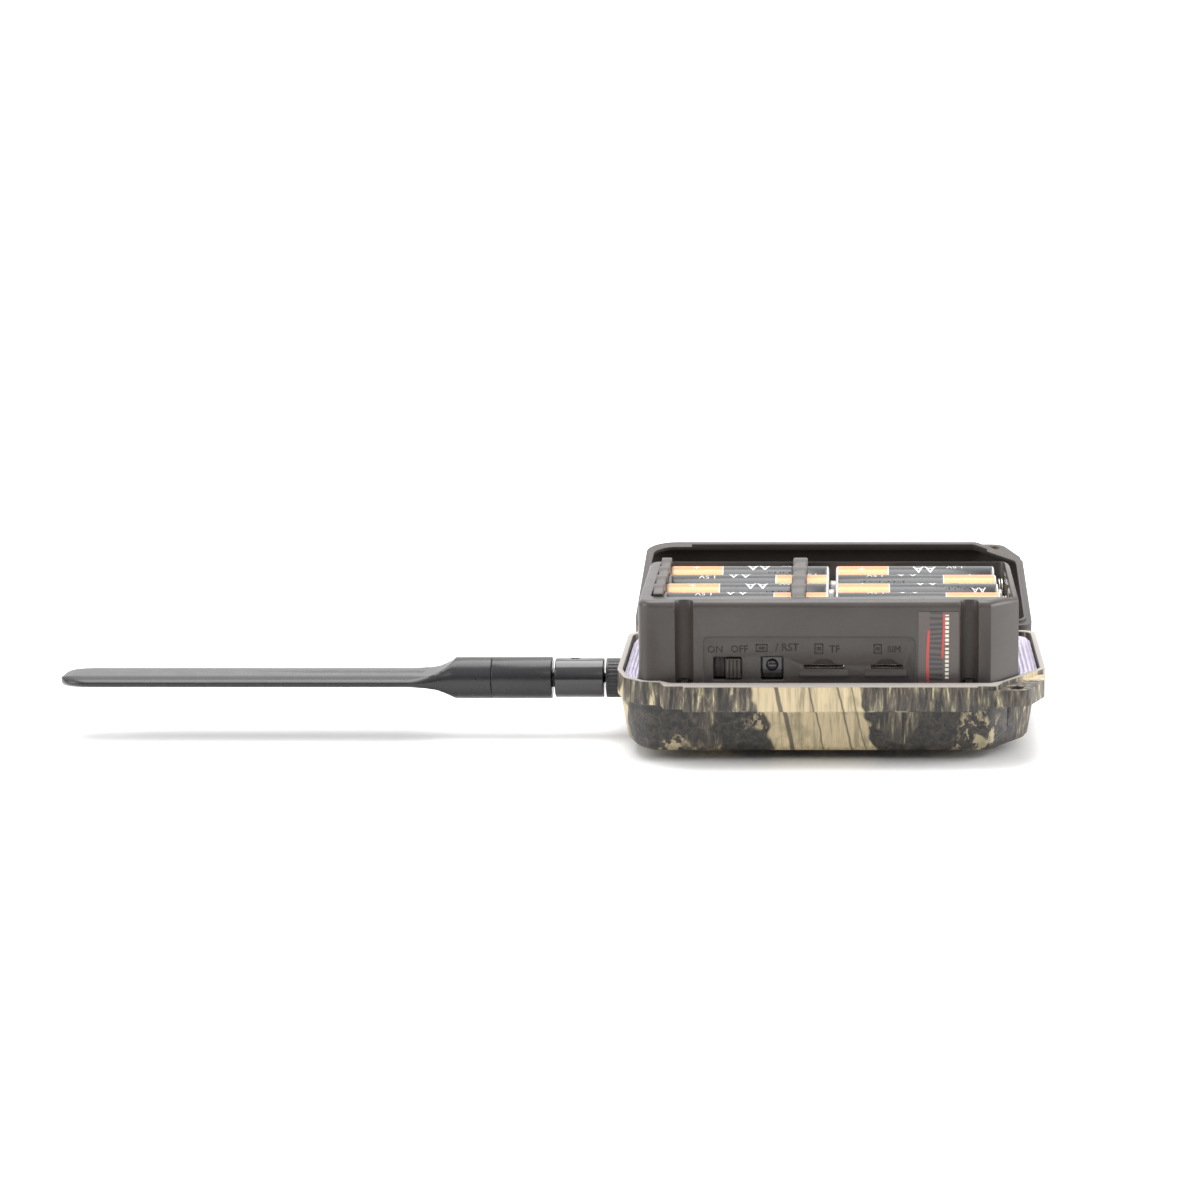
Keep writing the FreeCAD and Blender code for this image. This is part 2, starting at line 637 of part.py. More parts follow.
def controls():
    knob_plate = block("-35.2", "-23", "-34.0", "-33.2", "24.6", "30.7")
    ribs = [block(f"-33.6 + {rib * 1.1}", f"-33.1 + {rib * 1.1}", "-34.25", "-33.9", "24.8", "30.5")
            for rib in range(3)]
    thumb = block("-30.4", "-26.2", "-36.9", "-33.9", "24.8", "30.5")
    grooves = [block(f"-29.6 + {step * 1.1}", f"-29.2 + {step * 1.1}", "-37.1", "-36.5", "24.8", "30.5")
               for step in range(3)]
    node("power_switch_knob", cut(fuse(knob_plate, *ribs, thumb), *grooves))
    node("power_switch_body", block("-36.5", "-20.8", "-33.0", "-29.4", "board_top + 0.1", "31.0"))
    ball = coded("Dome", Part.makeSphere(2.3, Vector(-17, -34.9, 28.4)))
    dome = common(rod("Y", "-17", "-36.0", "28.4", 1.8, "2.4"), ball)
    stem = rod("Y", "-17", "-34.2", "28.4", 1.2, "1.2")
    cap_plate = block("-19.9", "-14.1", "-34.6", "-34.0", "25.6", "31.0")
    node("reset_button", fuse(dome, stem, cap_plate))
    node("reset_switch", block("-20.4", "-13.6", "-32.2", "-28.6", "board_top + 0.1", "30.9"))
    for name, x_low, x_high, y_far in (("tf_socket", "-8.6", "5.0", "-19.5"),
                                       ("sim_socket", "10.6", "22.4", "-17.5")):
        socket = block(x_low, x_high, "-34.0", y_far, "board_top + 0.1", "28.9")
        mouth = block(f"{x_low} + 0.9", f"{x_high} - 1.3", "-35", f"{y_far} - 1.5", "27.6", "28.3")
        node(name, cut(socket, mouth))
    node("label_plate", block("25.5", "37.2", "housing_near - 0.25", "housing_near", "23.4", "44.6"))


controls()


# ---------------------------------------------------------------- boards and fasteners

def boards():
    board = prism("Board", "XY", rectangle("-53", "46", "-33", "29", 2), "board_low", "board_top")
    node("main_board", board)
    node("modem_module", block("-44", "-14", "-12", "18", "board_top + 0.1", "28.4"))
    studs = []
    for x in ("-50", "43"):
        for y in ("-26", "26"):
            head = rod("Z", x, y, "board_low - 1.8", 2.4, 1.7)
            studs.append(fuse(head, rod("Z", x, y, "board_low - 5", 1.2, 4)))
    node("board_screws", group(*studs))
    screws = []
    for x in ("channel_left_x", "channel_right_x"):
        shank = rod("Z", x, "screw_y", "flange_low", 1.0, "flange_top - flange_low + 1.4")
        head = rod("Z", x, "screw_y", "flange_top + 1.3", 1.5, 1.6)
        socket = rod("Z", x, "screw_y", "flange_top + 2.2", 0.7, 2)
        screws.append(cut(fuse(shank, head), socket))
    node("housing_screws", group(*screws))


boards()


# ---------------------------------------------------------------- optics and sensors in the front face

def front_face():
    pane = rectangle("window_left - 0.8", "window_right + 0.8",
                     "-window_half - 0.8", "window_half + 0.8", 2.3)
    node("led_window", prism("Window", "XY", pane, "0.4", "1.7"))
    node("led_board", block("window_left + 2", "window_right - 2", "2 - window_half", "window_half - 2",
                            "12", "13.4"))
    lamps = []
    for column in range(5):
        for line in range(6):
            x = f"window_left + 4.6 + {column * 5.7}"
            y = f"{(line - 2.5) * 5.2}"
            dome = coded("Lamp", Part.makeSphere(2.3, Vector(value(x), value(y), 7.2)))
            lamps.append(fuse(rod("Z", x, y, "7.2", 2.3, "4.7"), dome))
    node("ir_leds", group(*lamps))
    head = rod("Z", "lens_x", "0", "1.4", "lens_radius", "10")
    tail = rod("Z", "lens_x", "0", "11", 6.2, "9.5")
    mouth = rod("Z", "lens_x", "0", "1", 5.4, "5")
    light_path = rod("Z", "lens_x", "0", "5.9", 3.4, "20")
    node("lens_barrel", cut(fuse(head, tail), mouth, light_path))
    glass_ball = coded("Glass", Part.makeSphere(9.0, Vector(value("lens_x"), 0, 11.6)))
    node("lens_glass", common(rod("Z", "lens_x", "0", "2.0", 5.3, "3.6"), glass_ball))
    node("image_sensor", block("lens_x - 5", "lens_x + 5", "-5", "5", "21.4", "board_low"))
    # curved fresnel dome of the motion sensor
    dome_outline = rectangle("pir_x - pir_half + 0.2", "pir_x + pir_half - 0.2", "0.2 - pir_tall",
                             "pir_tall - 0.2", 5.8)
    dome = common(prism("PirDisc", "XY", dome_outline, "0.3", "1.7"),
                  coded("PirCurve", Part.makeCylinder(32, 60, Vector(value("pir_x"), -30, 32.3), Y_AXIS)))
    node("pir_lens", dome)
    can = rod("Z", "pir_x", "0", "13", 4.6, "4")
    node("pir_sensor", fuse(can, rod("Z", "pir_x", "0", "16.5", 5.1, "0.8")))
    node("light_sensor_window", rod("Z", "lens_x", "14", "0.5", 1.55, "3.5"))
    node("status_led", rod("Z", "lens_x", "18", "0.5", 1.55, "3.5"))
    node("microphone", rod("Z", "lens_x", "-14", "5.4", 3.0, "2.2"))


front_face()


# ---------------------------------------------------------------- sockets in the tripod end

def end_sockets():
    insert = cut(rod("X", "face_right + draft - insert_depth - 2", "0", "insert_z", "insert_radius - 0.02",
                     "insert_depth + 1.6"),
                 rod("X", "face_right + draft - insert_depth - 0.4", "0", "insert_z", "thread_radius", "20"))
    node("tripod_insert", insert)
    jack = cut(rod("X", "face_right - 10", "jack_y", "jack_z", "jack_radius - 0.02", "11"),
               rod("X", "face_right - 8.5", "jack_y", "jack_z", "barrel_radius", "20"))
    pin = rod("X", "face_right - 9", "jack_y", "jack_z", 1.0, "8")
    node("dc_jack", fuse(jack, pin))
    stem = cut(rod("X", "face_right - 3.5", "jack_y", "jack_z", "barrel_radius - 0.05", "5.0"),
               rod("X", "face_right - 4", "jack_y", "jack_z", 1.15, "4.5"))
    flange = rod("X", "face_right + draft + 0.1", "jack_y", "jack_z", 5.6, "1.5")
    link = rod("X", "face_right + 1.2", "jack_y", "jack_z", "barrel_radius - 0.05", "1.6")
    node("dc_plug", fuse(stem, link, flange))


end_sockets()


# ---------------------------------------------------------------- antenna

def knurled_nut():
    nut = rod("X", "nut_left", "0", "antenna_z", "nut_radius", "-63 - nut_left")
    flutes = []
    count = 28
    for step in range(count):
        angle = 2 * math.pi * step / count
        reach = value("nut_radius") + 0.12
        y = reach * math.cos(angle)
        z = value("antenna_z") + reach * math.sin(angle)
        flutes.append(rod("X", "nut_left + 0.7", y, z, 0.32, "-63 - nut_left - 1.4"))
    bore = rod("X", "nut_left - 1", "0", "antenna_z", "3.22", "8")
    return cut(nut, *flutes, bore)


def antenna():
    node("antenna_jack", cut(rod("X", "-67.2", "0", "antenna_z", 3.15, "13"),
                             rod("X", "-68", "0", "antenna_z", 1.6, "8")))
    node("antenna_nut", knurled_nut())
    # the base is a plain cylinder on the latch side; its hinge side is cut back and slotted for the fold
    barrel = rod("X", "base_left", "0", "antenna_z", "base_radius", "base_right - base_left")
    barrel = rounded(barrel, 0.4, lambda edge: edge.Curve.TypeId == "Part::GeomCircle")
    swing = cut(block("base_left - 1", "tilt_x", "0", "9", "antenna_z - 9", "antenna_z + 9"),
                rod("Z", "tilt_x", "0", "antenna_z - 10", "tilt_x - base_left", "20"))
    slot = block("base_left - 3", "tilt_x + 4.4", "-4.4", "9",
                 "antenna_z - fork_half", "antenna_z + fork_half")
    pin_hole = rod("Z", "tilt_x", "0", "0", 1.3, "60")
    spigot = rod("X", "base_right - 0.5", "0", "antenna_z", 1.5, "7")
    node("antenna_base", fuse(cut(barrel, swing, slot, pin_hole), spigot))
    node("antenna_pin", rod("Z", "tilt_x", "0", "antenna_z - base_radius + 0.4", 1.3,
                            "2 * base_radius - 0.8"))
    sleeve = rod("X", "sleeve_left", "0", "antenna_z", "antenna_radius", "sleeve_right - sleeve_left")
    sleeve = rounded(sleeve, 0.4, lambda edge: edge.Curve.TypeId == "Part::GeomCircle"
                     and edge.BoundBox.XMin > -90)
    neck = block("sleeve_right - 1", "tilt_x", "-3.2", "3.2", "antenna_z - 2.2", "antenna_z + 2.2")
    eye = rod("Z", "tilt_x", "0", "antenna_z - 2.2", 4.0, "4.4")
    eye_hole = rod("Z", "tilt_x", "0", "0", 1.36, "60")
    node("antenna_sleeve", cut(fuse(sleeve, neck, eye), eye_hole))
    # blade: a round root that is scooped away to a flat paddle with a rounded tip
    root = rod("X", "scoop_right", "0", "antenna_z", "antenna_radius", "sleeve_left - scoop_right - 0.15")
    low = "antenna_z - blade_thickness / 2"
    high = "antenna_z + blade_thickness / 2"
    paddle_outline = [
        ("blade_tip", "-blade_half", 9.5), ("scoop_left - 4", "-blade_half"), ("scoop_right + 1", "-6.2"),
        ("scoop_right + 1", "6.2"), ("scoop_left - 4", "blade_half"), ("blade_tip", "blade_half", 9.5),
    ]
    paddle = prism("Paddle", "XY", paddle_outline, low, high)
    scoop_outline = [
        ("scoop_left - 2", low), ("scoop_left", high), ("scoop_left + 4", f"{high} + 1.3"),
        ("scoop_right + 1", "antenna_z + 6.2"), ("scoop_right + 1", "antenna_z - 6.2"),
        ("scoop_left + 3", "antenna_z - 3.8"),
    ]
    scoop = common(prism("Scoop", "XZ", scoop_outline, "-antenna_radius", "antenna_radius"),
                   rod("X", "scoop_left - 3", "0", "antenna_z", "antenna_radius", "20"))
    groove = block("-177", "scoop_left + 1", "-0.5", "0.5", f"{high} - 0.3", f"{high} + 1")
    groove_low = block("-177", "scoop_left - 3", "-0.5", "0.5", f"{low} - 1", f"{low} + 0.3")
    node("antenna_blade", cut(fuse(root, paddle, scoop), groove, groove_low))


def antenna_pigtail(radius=0.6, bend=5.0):
    """The coax lead inside the case: straight from the jack, one turn up to the modem."""
    height = value("antenna_z")
    start = Vector(-54.2, 0, height)
    corner = Vector(-46.5, 0, height)
    end = Vector(-46.5, 0, value("board_low"))
    before = corner - X_AXIS * bend
    after = corner + Z_AXIS * bend
    middle = corner + (Z_AXIS - X_AXIS) * (bend * (1 - math.sqrt(0.5)))
    path = Part.Wire([Part.LineSegment(start, before).toShape(), Part.Arc(before, middle, after).toShape(),
                      Part.LineSegment(after, end).toShape()])
    section = Part.Wire([Part.makeCircle(radius, start, X_AXIS)])
    node("antenna_pigtail", coded("Pigtail", path.makePipeShell([section], True, True)))


antenna()
antenna_pigtail()


# ---------------------------------------------------------------- open pose, checks and export

doc.recompute()
hinge_point = Vector(0, value("hinge_y"), value("hinge_z"))
latch_point = Vector(0, value("latch_y"), value("latch_z"))
swing_open = FreeCAD.Placement(Vector(), FreeCAD.Rotation(X_AXIS, -value("open_angle")), hinge_point)
fold_back = FreeCAD.Placement(Vector(), FreeCAD.Rotation(X_AXIS, -180), latch_point)
placed = {"rear_cover": swing_open, "latch_pin": swing_open, "latch_lever": swing_open.multiply(fold_back)}
for name, placement in placed.items():
    item = nodes[name]
    for prop, _ in item.ExpressionEngine:
        if "Placement" in prop:
            item.setExpression(prop, None)
    item.Placement = placement.multiply(item.Placement)
doc.recompute()

for item in doc.Objects:
    if "Invalid" in item.State or "Error" in item.State:
        raise RuntimeError(f"{item.Label} did not build")
for name, item in nodes.items():
    if item.Shape.isNull() or not item.Shape.isValid() or not item.Shape.Solids:
        raise RuntimeError(f"{name} has no sound shape")
    item.Shape.exportStep(f"parts/{name}.step")
print(f"{len(nodes)} nodes written")
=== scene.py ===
"""Trail camera lying on its face with the rear cover open: finishes, detailed pieces, stage and view."""

import math

import bmesh
import bpy
from bpy.props import FloatProperty, FloatVectorProperty, IntProperty, PointerProperty
from mathutils import Matrix, Vector
from mathutils.bvhtree import BVHTree


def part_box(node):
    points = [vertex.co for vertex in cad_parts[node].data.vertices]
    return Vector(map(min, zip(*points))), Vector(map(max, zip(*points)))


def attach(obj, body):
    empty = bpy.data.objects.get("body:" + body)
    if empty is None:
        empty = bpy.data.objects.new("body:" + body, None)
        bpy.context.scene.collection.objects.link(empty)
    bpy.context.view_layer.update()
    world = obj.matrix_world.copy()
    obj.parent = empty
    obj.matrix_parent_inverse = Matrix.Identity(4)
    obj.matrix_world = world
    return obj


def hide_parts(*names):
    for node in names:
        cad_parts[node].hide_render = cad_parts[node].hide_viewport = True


bl_info = {
    "name": "Trail Camera",
    "version": (1, 0, 0),
    "blender": (4, 5, 0),
    "location": "3D View > Sidebar > Trail Camera",
    "description": "Finishes and detailed pieces of a trail camera around its packed frame",
    "category": "Object",
}

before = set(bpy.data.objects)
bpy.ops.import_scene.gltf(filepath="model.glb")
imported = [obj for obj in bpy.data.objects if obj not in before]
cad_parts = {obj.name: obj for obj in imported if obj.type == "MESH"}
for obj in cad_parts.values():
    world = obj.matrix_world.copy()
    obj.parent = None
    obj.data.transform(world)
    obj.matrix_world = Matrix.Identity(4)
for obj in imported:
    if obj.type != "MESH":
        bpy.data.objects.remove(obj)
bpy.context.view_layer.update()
MM = 0.001


# ---------------------------------------------------------------- settings

def length(name, text, size):
    return FloatProperty(name=name, description=text, default=size, unit="LENGTH")


def colour(name, text, *rgb):
    return FloatVectorProperty(name=name, description=text, default=rgb, subtype="COLOR", size=3,
                               min=0.0, max=1.0)


class StageSettings(bpy.types.PropertyGroup):
    floor: colour("Floor", "Colour of the pale studio floor", 0.89, 0.89, 0.89)
    camera_height: length("Camera height", "Height of the viewpoint above the floor", 0.231)
    camera_back: length("Camera distance", "How far in front of the antenna's axis the viewpoint is", 1.034)
    camera_side: length("Camera offset", "Sideways place of the viewpoint", 0.0045)
    camera_pitch: FloatProperty(name="Camera pitch", description="How far the view looks down",
                                default=math.radians(11.22), subtype="ANGLE")
    focal: FloatProperty(name="Focal length", description="Lens in millimetres on a 36 mm sensor",
                         default=105.0)


class PlasticSettings(bpy.types.PropertyGroup):
    housing: colour("Housing", "Brown moulded plastic of the battery housing", 0.047, 0.039, 0.034)
    # painted shade: the markings are the housing's own plastic, and this darker brown stands in for the shade
    # in their relief
    panel: colour("Markings", "Darker brown of the moulded markings", 0.014, 0.012, 0.011)
    black: colour("Black", "Satin black plastic of the antenna", 0.013, 0.012, 0.014)
    rounding: length("Edge rounding", "Radius of the moulded edges", 0.0005)


class CamouflageSettings(bpy.types.PropertyGroup):
    charcoal: colour("Charcoal", "Darkest bark", 0.013, 0.0125, 0.012)
    bark: colour("Bark", "Middle brown-grey bark", 0.105, 0.086, 0.066)
    olive: colour("Olive", "Mossy green-grey", 0.200, 0.185, 0.105)
    cream: colour("Cream", "Pale split wood", 0.560, 0.460, 0.285)


class CellSettings(bpy.types.PropertyGroup):
    copper: colour("Copper", "Band at the plus end", 0.640, 0.270, 0.095)
    jacket: colour("Jacket", "Dark part of the printed jacket", 0.012, 0.013, 0.015)
    ink: colour("Ink", "Printed marks", 0.86, 0.87, 0.86)
    band: length("Copper band", "Length of the copper band", 0.0158)


class SealSettings(bpy.types.PropertyGroup):
    tint: colour("Silicone", "Pale rubber of the seal", 0.62, 0.58, 0.70)
    ribs: IntProperty(name="Ribs", description="Ribs that run along the seal", default=4, min=1, max=6)
    rib_height: length("Rib height", "How far a rib stands above its groove", 0.0005)


class AntennaSettings(bpy.types.PropertyGroup):
    edge_thickness: length("Paddle thickness", "Thickness of the flat paddle", 0.0036)
    scoop_end: length("Scoop end", "Where the scoop has reached the paddle's thickness", -0.1225)
    scoop_start: length("Scoop start", "Where the round root begins to be scooped away", -0.1130)
    groove_end: length("Groove end", "Where the groove along the paddle dies out", -0.177)


# ---------------------------------------------------------------- material building

class Finish:
    """One procedural material. Positions are the object's own, in millimetres."""

    def __init__(self, name, base=(0.5, 0.5, 0.5), roughness=0.5, **sockets):
        self.material = bpy.data.materials.new(name)
        self.material.use_nodes = True
        self.tree = self.material.node_tree
        self.tree.nodes.clear()
        self.shader = self.add("ShaderNodeBsdfPrincipled")
        output = self.add("ShaderNodeOutputMaterial")
        self.tree.links.new(self.shader.outputs["BSDF"], output.inputs["Surface"])
        self.shader.inputs["Base Color"].default_value = (*base, 1.0)
        self.shader.inputs["Roughness"].default_value = roughness
        for socket, number in sockets.items():
            self.shader.inputs[socket.replace("_", " ")].default_value = number
        self.material.diffuse_color = (*base, 1.0)
        metres = self.add("ShaderNodeTexCoord").outputs["Object"]
        self.place = self.vector("SCALE", metres, scale=1 / MM)

    def add(self, kind, **settings):
        node = self.tree.nodes.new(kind)
        for name, setting in settings.items():
            setattr(node, name, setting)
        return node

    def put(self, socket, source):
        """Links a socket, or sets a plain value on it."""
        if isinstance(source, bpy.types.NodeSocket):
            self.tree.links.new(source, socket)
        elif socket.type == "RGBA":
            socket.default_value = (*source, 1.0)
        else:
            socket.default_value = source

    def math(self, operation, *values, clamp=False):
        node = self.add("ShaderNodeMath", operation=operation, use_clamp=clamp)
        for socket, source in zip(node.inputs, values):
            self.put(socket, source)
        return node.outputs[0]

    def vector(self, operation, *values, scale=None):
        node = self.add("ShaderNodeVectorMath", operation=operation)
        for socket, source in zip(node.inputs, values):
            self.put(socket, source)
        if scale is not None:
            node.inputs["Scale"].default_value = scale
        return node.outputs["Value"] if operation in ("LENGTH", "DOT_PRODUCT") else node.outputs[0]

    def axes(self, place=None):
        node = self.add("ShaderNodeSeparateXYZ")
        self.put(node.inputs[0], place or self.place)
        return node.outputs

    def noise(self, scale, stretch=(1.0, 1.0, 1.0), detail=3.0, rough=0.55, shift=(0.0, 0.0, 0.0),
              distortion=0.0, place=None):
        """Noise whose features are about 1 / scale millimetres across, stretched per axis."""
        moved = self.vector("ADD", place or self.place, shift)
        stretched = self.vector("MULTIPLY", moved, stretch)
        node = self.add("ShaderNodeTexNoise")
        self.put(node.inputs["Vector"], stretched)
        node.inputs["Scale"].default_value = scale
        node.inputs["Detail"].default_value = detail
        node.inputs["Roughness"].default_value = rough
        node.inputs["Distortion"].default_value = distortion
        return node.outputs[0]

    def step(self, value, low, high):
        """A smooth rise from 0 at low to 1 at high; low above high gives a fall."""
        node = self.add("ShaderNodeMapRange", interpolation_type="SMOOTHSTEP")
        falls = low > high
        self.put(node.inputs["Value"], value)
        node.inputs["From Min"].default_value = min(low, high)
        node.inputs["From Max"].default_value = max(low, high)
        node.inputs["To Min"].default_value = 1.0 if falls else 0.0
        node.inputs["To Max"].default_value = 0.0 if falls else 1.0
        return node.outputs[0]

    def span(self, value, low, high, soft):
        """1 between low and high, 0 outside."""
        rise = self.step(value, low - soft, low + soft)
        return self.math("MULTIPLY", rise, self.step(value, high + soft, high - soft))

    def all_of(self, *masks):
        result = masks[0]
        for mask in masks[1:]:
            result = self.math("MULTIPLY", result, mask)
        return result

    def mix(self, share, first, second):
        node = self.add("ShaderNodeMix", data_type="RGBA")
        self.put(node.inputs[0], share)
        self.put(node.inputs[6], first)
        self.put(node.inputs[7], second)
        return node.outputs[2]

    def ramp(self, value, *stops):
        node = self.add("ShaderNodeValToRGB")
        self.put(node.inputs[0], value)
        elements = node.color_ramp.elements
        elements[0].position, elements[0].color = stops[0][0], (*stops[0][1], 1.0)
        elements[1].position, elements[1].color = stops[-1][0], (*stops[-1][1], 1.0)
        for position, rgb in stops[1:-1]:
            elements.new(position).color = (*rgb, 1.0)
        return node.outputs[0]

    def paint(self, source):
        self.put(self.shader.inputs["Base Color"], source)

    def roughen(self, value, low, high):
        node = self.add("ShaderNodeMapRange")
        self.put(node.inputs["Value"], value)
        node.inputs["To Min"].default_value = low
        node.inputs["To Max"].default_value = high
        self.put(self.shader.inputs["Roughness"], node.outputs[0])

    def emboss(self, value, height, edge=0.0):
        """Bump whose full height is given in millimetres, over edges softened by a radius."""
        node = self.add("ShaderNodeBump")
        if edge:
            soft = self.add("ShaderNodeBevel", samples=6)
            soft.inputs["Radius"].default_value = edge * MM
            self.tree.links.new(soft.outputs["Normal"], node.inputs["Normal"])
        self.put(node.inputs["Height"], value)
        node.inputs["Distance"].default_value = height * MM
        node.inputs["Strength"].default_value = 1.0
        self.put(self.shader.inputs["Normal"], node.outputs[0])


def shade(rgb, factor):
    return tuple(min(1.0, channel * factor) for channel in rgb)


def moulded(name, rgb, roughness, grain=0.02, **sockets):
    """Injection-moulded plastic: faint flow marks, handling sheen and a fine spark-eroded grain."""
    finish = Finish(name, rgb, roughness, **sockets)
    cloud = finish.noise(0.05, detail=3.0)
    fine = finish.noise(2.2, detail=2.0)
    finish.paint(finish.ramp(cloud, (0.3, shade(rgb, 0.88)), (0.7, shade(rgb, 1.12))))
    finish.roughen(finish.noise(0.16, detail=4.0, rough=0.7), roughness - 0.07, roughness + 0.09)
    finish.emboss(fine, grain, edge=0.45)
    return finish.material


def metal(name, rgb, roughness, stretch=(1.0, 1.0, 1.0)):
    """Plated or machined metal with fine tool lines and a little tarnish."""
    finish = Finish(name, rgb, roughness, Metallic=1.0)
    lines = finish.noise(3.0, stretch=stretch, detail=2.0)
    stain = finish.noise(0.35, detail=4.0)
    finish.paint(finish.ramp(stain, (0.3, shade(rgb, 0.72)), (0.6, rgb), (0.8, shade(rgb, 1.1))))
    finish.roughen(lines, roughness - 0.08, roughness + 0.12)
    finish.emboss(lines, 0.006)
    return finish.material


# ---------------------------------------------------------------- finishes of this camera

WOOD_LEFT, WOOD_RIGHT = -20.5, 9.9
CRACKS = ((-13.6, 1.3), (-4.2, 0.5), (4.0, 0.55), (7.8, 0.35))


def camouflage_colour(finish, place, palette, front_wood_and_shade):
    """Bark print: streaked bark, charcoal hollows with pale twigs, mossy patches and split wood; on the front
    shell also a painted shadow under the band.
    """
    x, y, z = finish.axes(place)
    warp = finish.noise(0.09, detail=2.0, place=place)
    wobble = finish.math("MULTIPLY", finish.math("SUBTRACT", warp, 0.5), 9.0)
    across = finish.math("ADD", x, wobble)

    streak = finish.noise(0.55, stretch=(1.0, 1.0, 0.16), detail=6.0, rough=0.68, place=place, distortion=0.4)
    bark = finish.ramp(streak, (0.38, palette.charcoal), (0.48, shade(palette.bark, 0.55)),
                       (0.54, palette.bark), (0.59, palette.olive), (0.66, palette.cream))

    # charcoal hollows, with faint twigs and a few curled leaves drawn over them
    hollow_noise = finish.noise(0.042, stretch=(1.0, 1.0, 0.8), detail=3.0, place=place,
                                shift=(31.0, 7.0, 12.0))
    hollow = finish.step(hollow_noise, 0.46, 0.49)
    grit = finish.noise(0.5, detail=5.0, rough=0.7, place=place)
    dark = finish.ramp(grit, (0.42, palette.charcoal), (0.62, shade(palette.bark, 0.5)))
    bend = finish.noise(0.075, stretch=(1.0, 1.0, 1.6), detail=3.0, rough=0.4, place=place,
                        shift=(3.0, 9.0, 4.0))
    twigs = finish.span(bend, 0.493, 0.507, 0.004)
    leaf_noise = finish.noise(0.34, stretch=(1.0, 1.0, 0.7), detail=6.0, rough=0.72, place=place,
                              shift=(55.0, 3.0, 1.0))
    leaf_zone = finish.step(finish.noise(0.06, detail=2.0, place=place, shift=(17.0, 5.0, 60.0)), 0.52, 0.60)
    leaves = finish.math("MULTIPLY", finish.step(leaf_noise, 0.50, 0.56), leaf_zone)
    dark = finish.mix(leaves, dark, finish.mix(grit, shade(palette.olive, 0.8), palette.cream))
    dark = finish.mix(finish.math("MULTIPLY", twigs, 0.35), dark, shade(palette.bark, 1.1))
    if front_wood_and_shade:
        hollow = finish.math("MULTIPLY", hollow, finish.step(z, 17.6, 16.8))
    result = finish.mix(hollow, bark, dark)

    # pale split wood: a long upright patch on the latch side, smaller ones elsewhere
    patch_noise = finish.noise(0.036, stretch=(1.0, 1.0, 0.6), detail=2.0, place=place,
                               shift=(9.0, 41.0, 3.0))
    patches = finish.step(patch_noise, 0.585, 0.60)
    if front_wood_and_shade:
        slanted = finish.math("ADD", across, finish.math("MULTIPLY", z, 0.28))
        near = finish.step(y, -30.0, -33.0)
        patches = finish.math("MULTIPLY", patches, finish.math("SUBTRACT", 1.0, near))
        upright = finish.math("MULTIPLY", finish.span(slanted, WOOD_LEFT + 4.5, WOOD_RIGHT + 4.5, 0.5), near)
        patches = finish.math("MAXIMUM", patches, upright)
    fibre = finish.noise(0.9, stretch=(1.0, 1.0, 0.07), detail=4.0, rough=0.6, place=place)
    wood = finish.ramp(fibre, (0.34, shade(palette.cream, 0.52)), (0.46, shade(palette.cream, 0.85)),
                       (0.6, palette.cream), (0.75, shade(palette.cream, 1.12)))
    moss = finish.step(finish.noise(0.075, detail=4.0, place=place, shift=(0.0, 0.0, 77.0)), 0.55, 0.66)
    wood = finish.mix(finish.math("MULTIPLY", moss, 0.6), wood, palette.olive)
    for middle, width in CRACKS:
        lean = finish.math("ADD", x, finish.math("MULTIPLY", z, 0.22))
        lean = finish.math("ADD", lean, finish.math("MULTIPLY", wobble, 0.25))
        crack = finish.span(lean, middle + 3.3 - width / 2, middle + 3.3 + width / 2, 0.25)
        wood = finish.mix(finish.math("MULTIPLY", crack, 0.85), wood, shade(palette.bark, 0.55))
    result = finish.mix(patches, result, wood)
    # painted shadow: charcoal darkening in the recess below the band on the near side, standing in for shade
    if front_wood_and_shade:
        painted_undercut_shade = finish.all_of(finish.span(z, 15.4, 16.9, 0.5), finish.step(y, -20.0, -30.0))
        result = finish.mix(finish.math("MULTIPLY", painted_undercut_shade, 0.65), result, palette.charcoal)
    return result, streak


def bare_plastic(finish, rgb):
    cloud = finish.noise(0.05, detail=3.0)
    return finish.ramp(cloud, (0.3, shade(rgb, 0.88)), (0.7, shade(rgb, 1.12)))


def front_film():
    """Camouflage film on the front shell, with a painted shadow under the band; the rim's top and the channel
    inside are bare plastic.
    """
    settings = bpy.context.scene.camera_plastic
    palette = bpy.context.scene.camera_camouflage
    finish = Finish("camouflage_front", palette.bark, 0.5)
    pattern, streak = camouflage_colour(finish, finish.place, palette, front_wood_and_shade=True)
    height = finish.axes()[2]
    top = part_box("front_shell")[1].z / MM
    rim = finish.step(height, 24.18, 24.42)
    lip = finish.mix(rim, pattern, (0.34, 0.31, 0.285))
    barrels = finish.step(height, 24.6, min(25.0, top))
    finish.paint(finish.mix(barrels, lip, bare_plastic(finish, settings.housing)))
    finish.roughen(streak, 0.42, 0.58)
    finish.emboss(streak, 0.05)
    return finish.material


COVER_OPEN = math.radians(171.4)
HINGE_LINE = (0.0, 41.6, 24.65)
COVER_MIDDLE = (0.5, -3.65, 0.0)
COVER_HALF = (62.7, 42.35, 51.2)
COVER_CORNER = 9.0


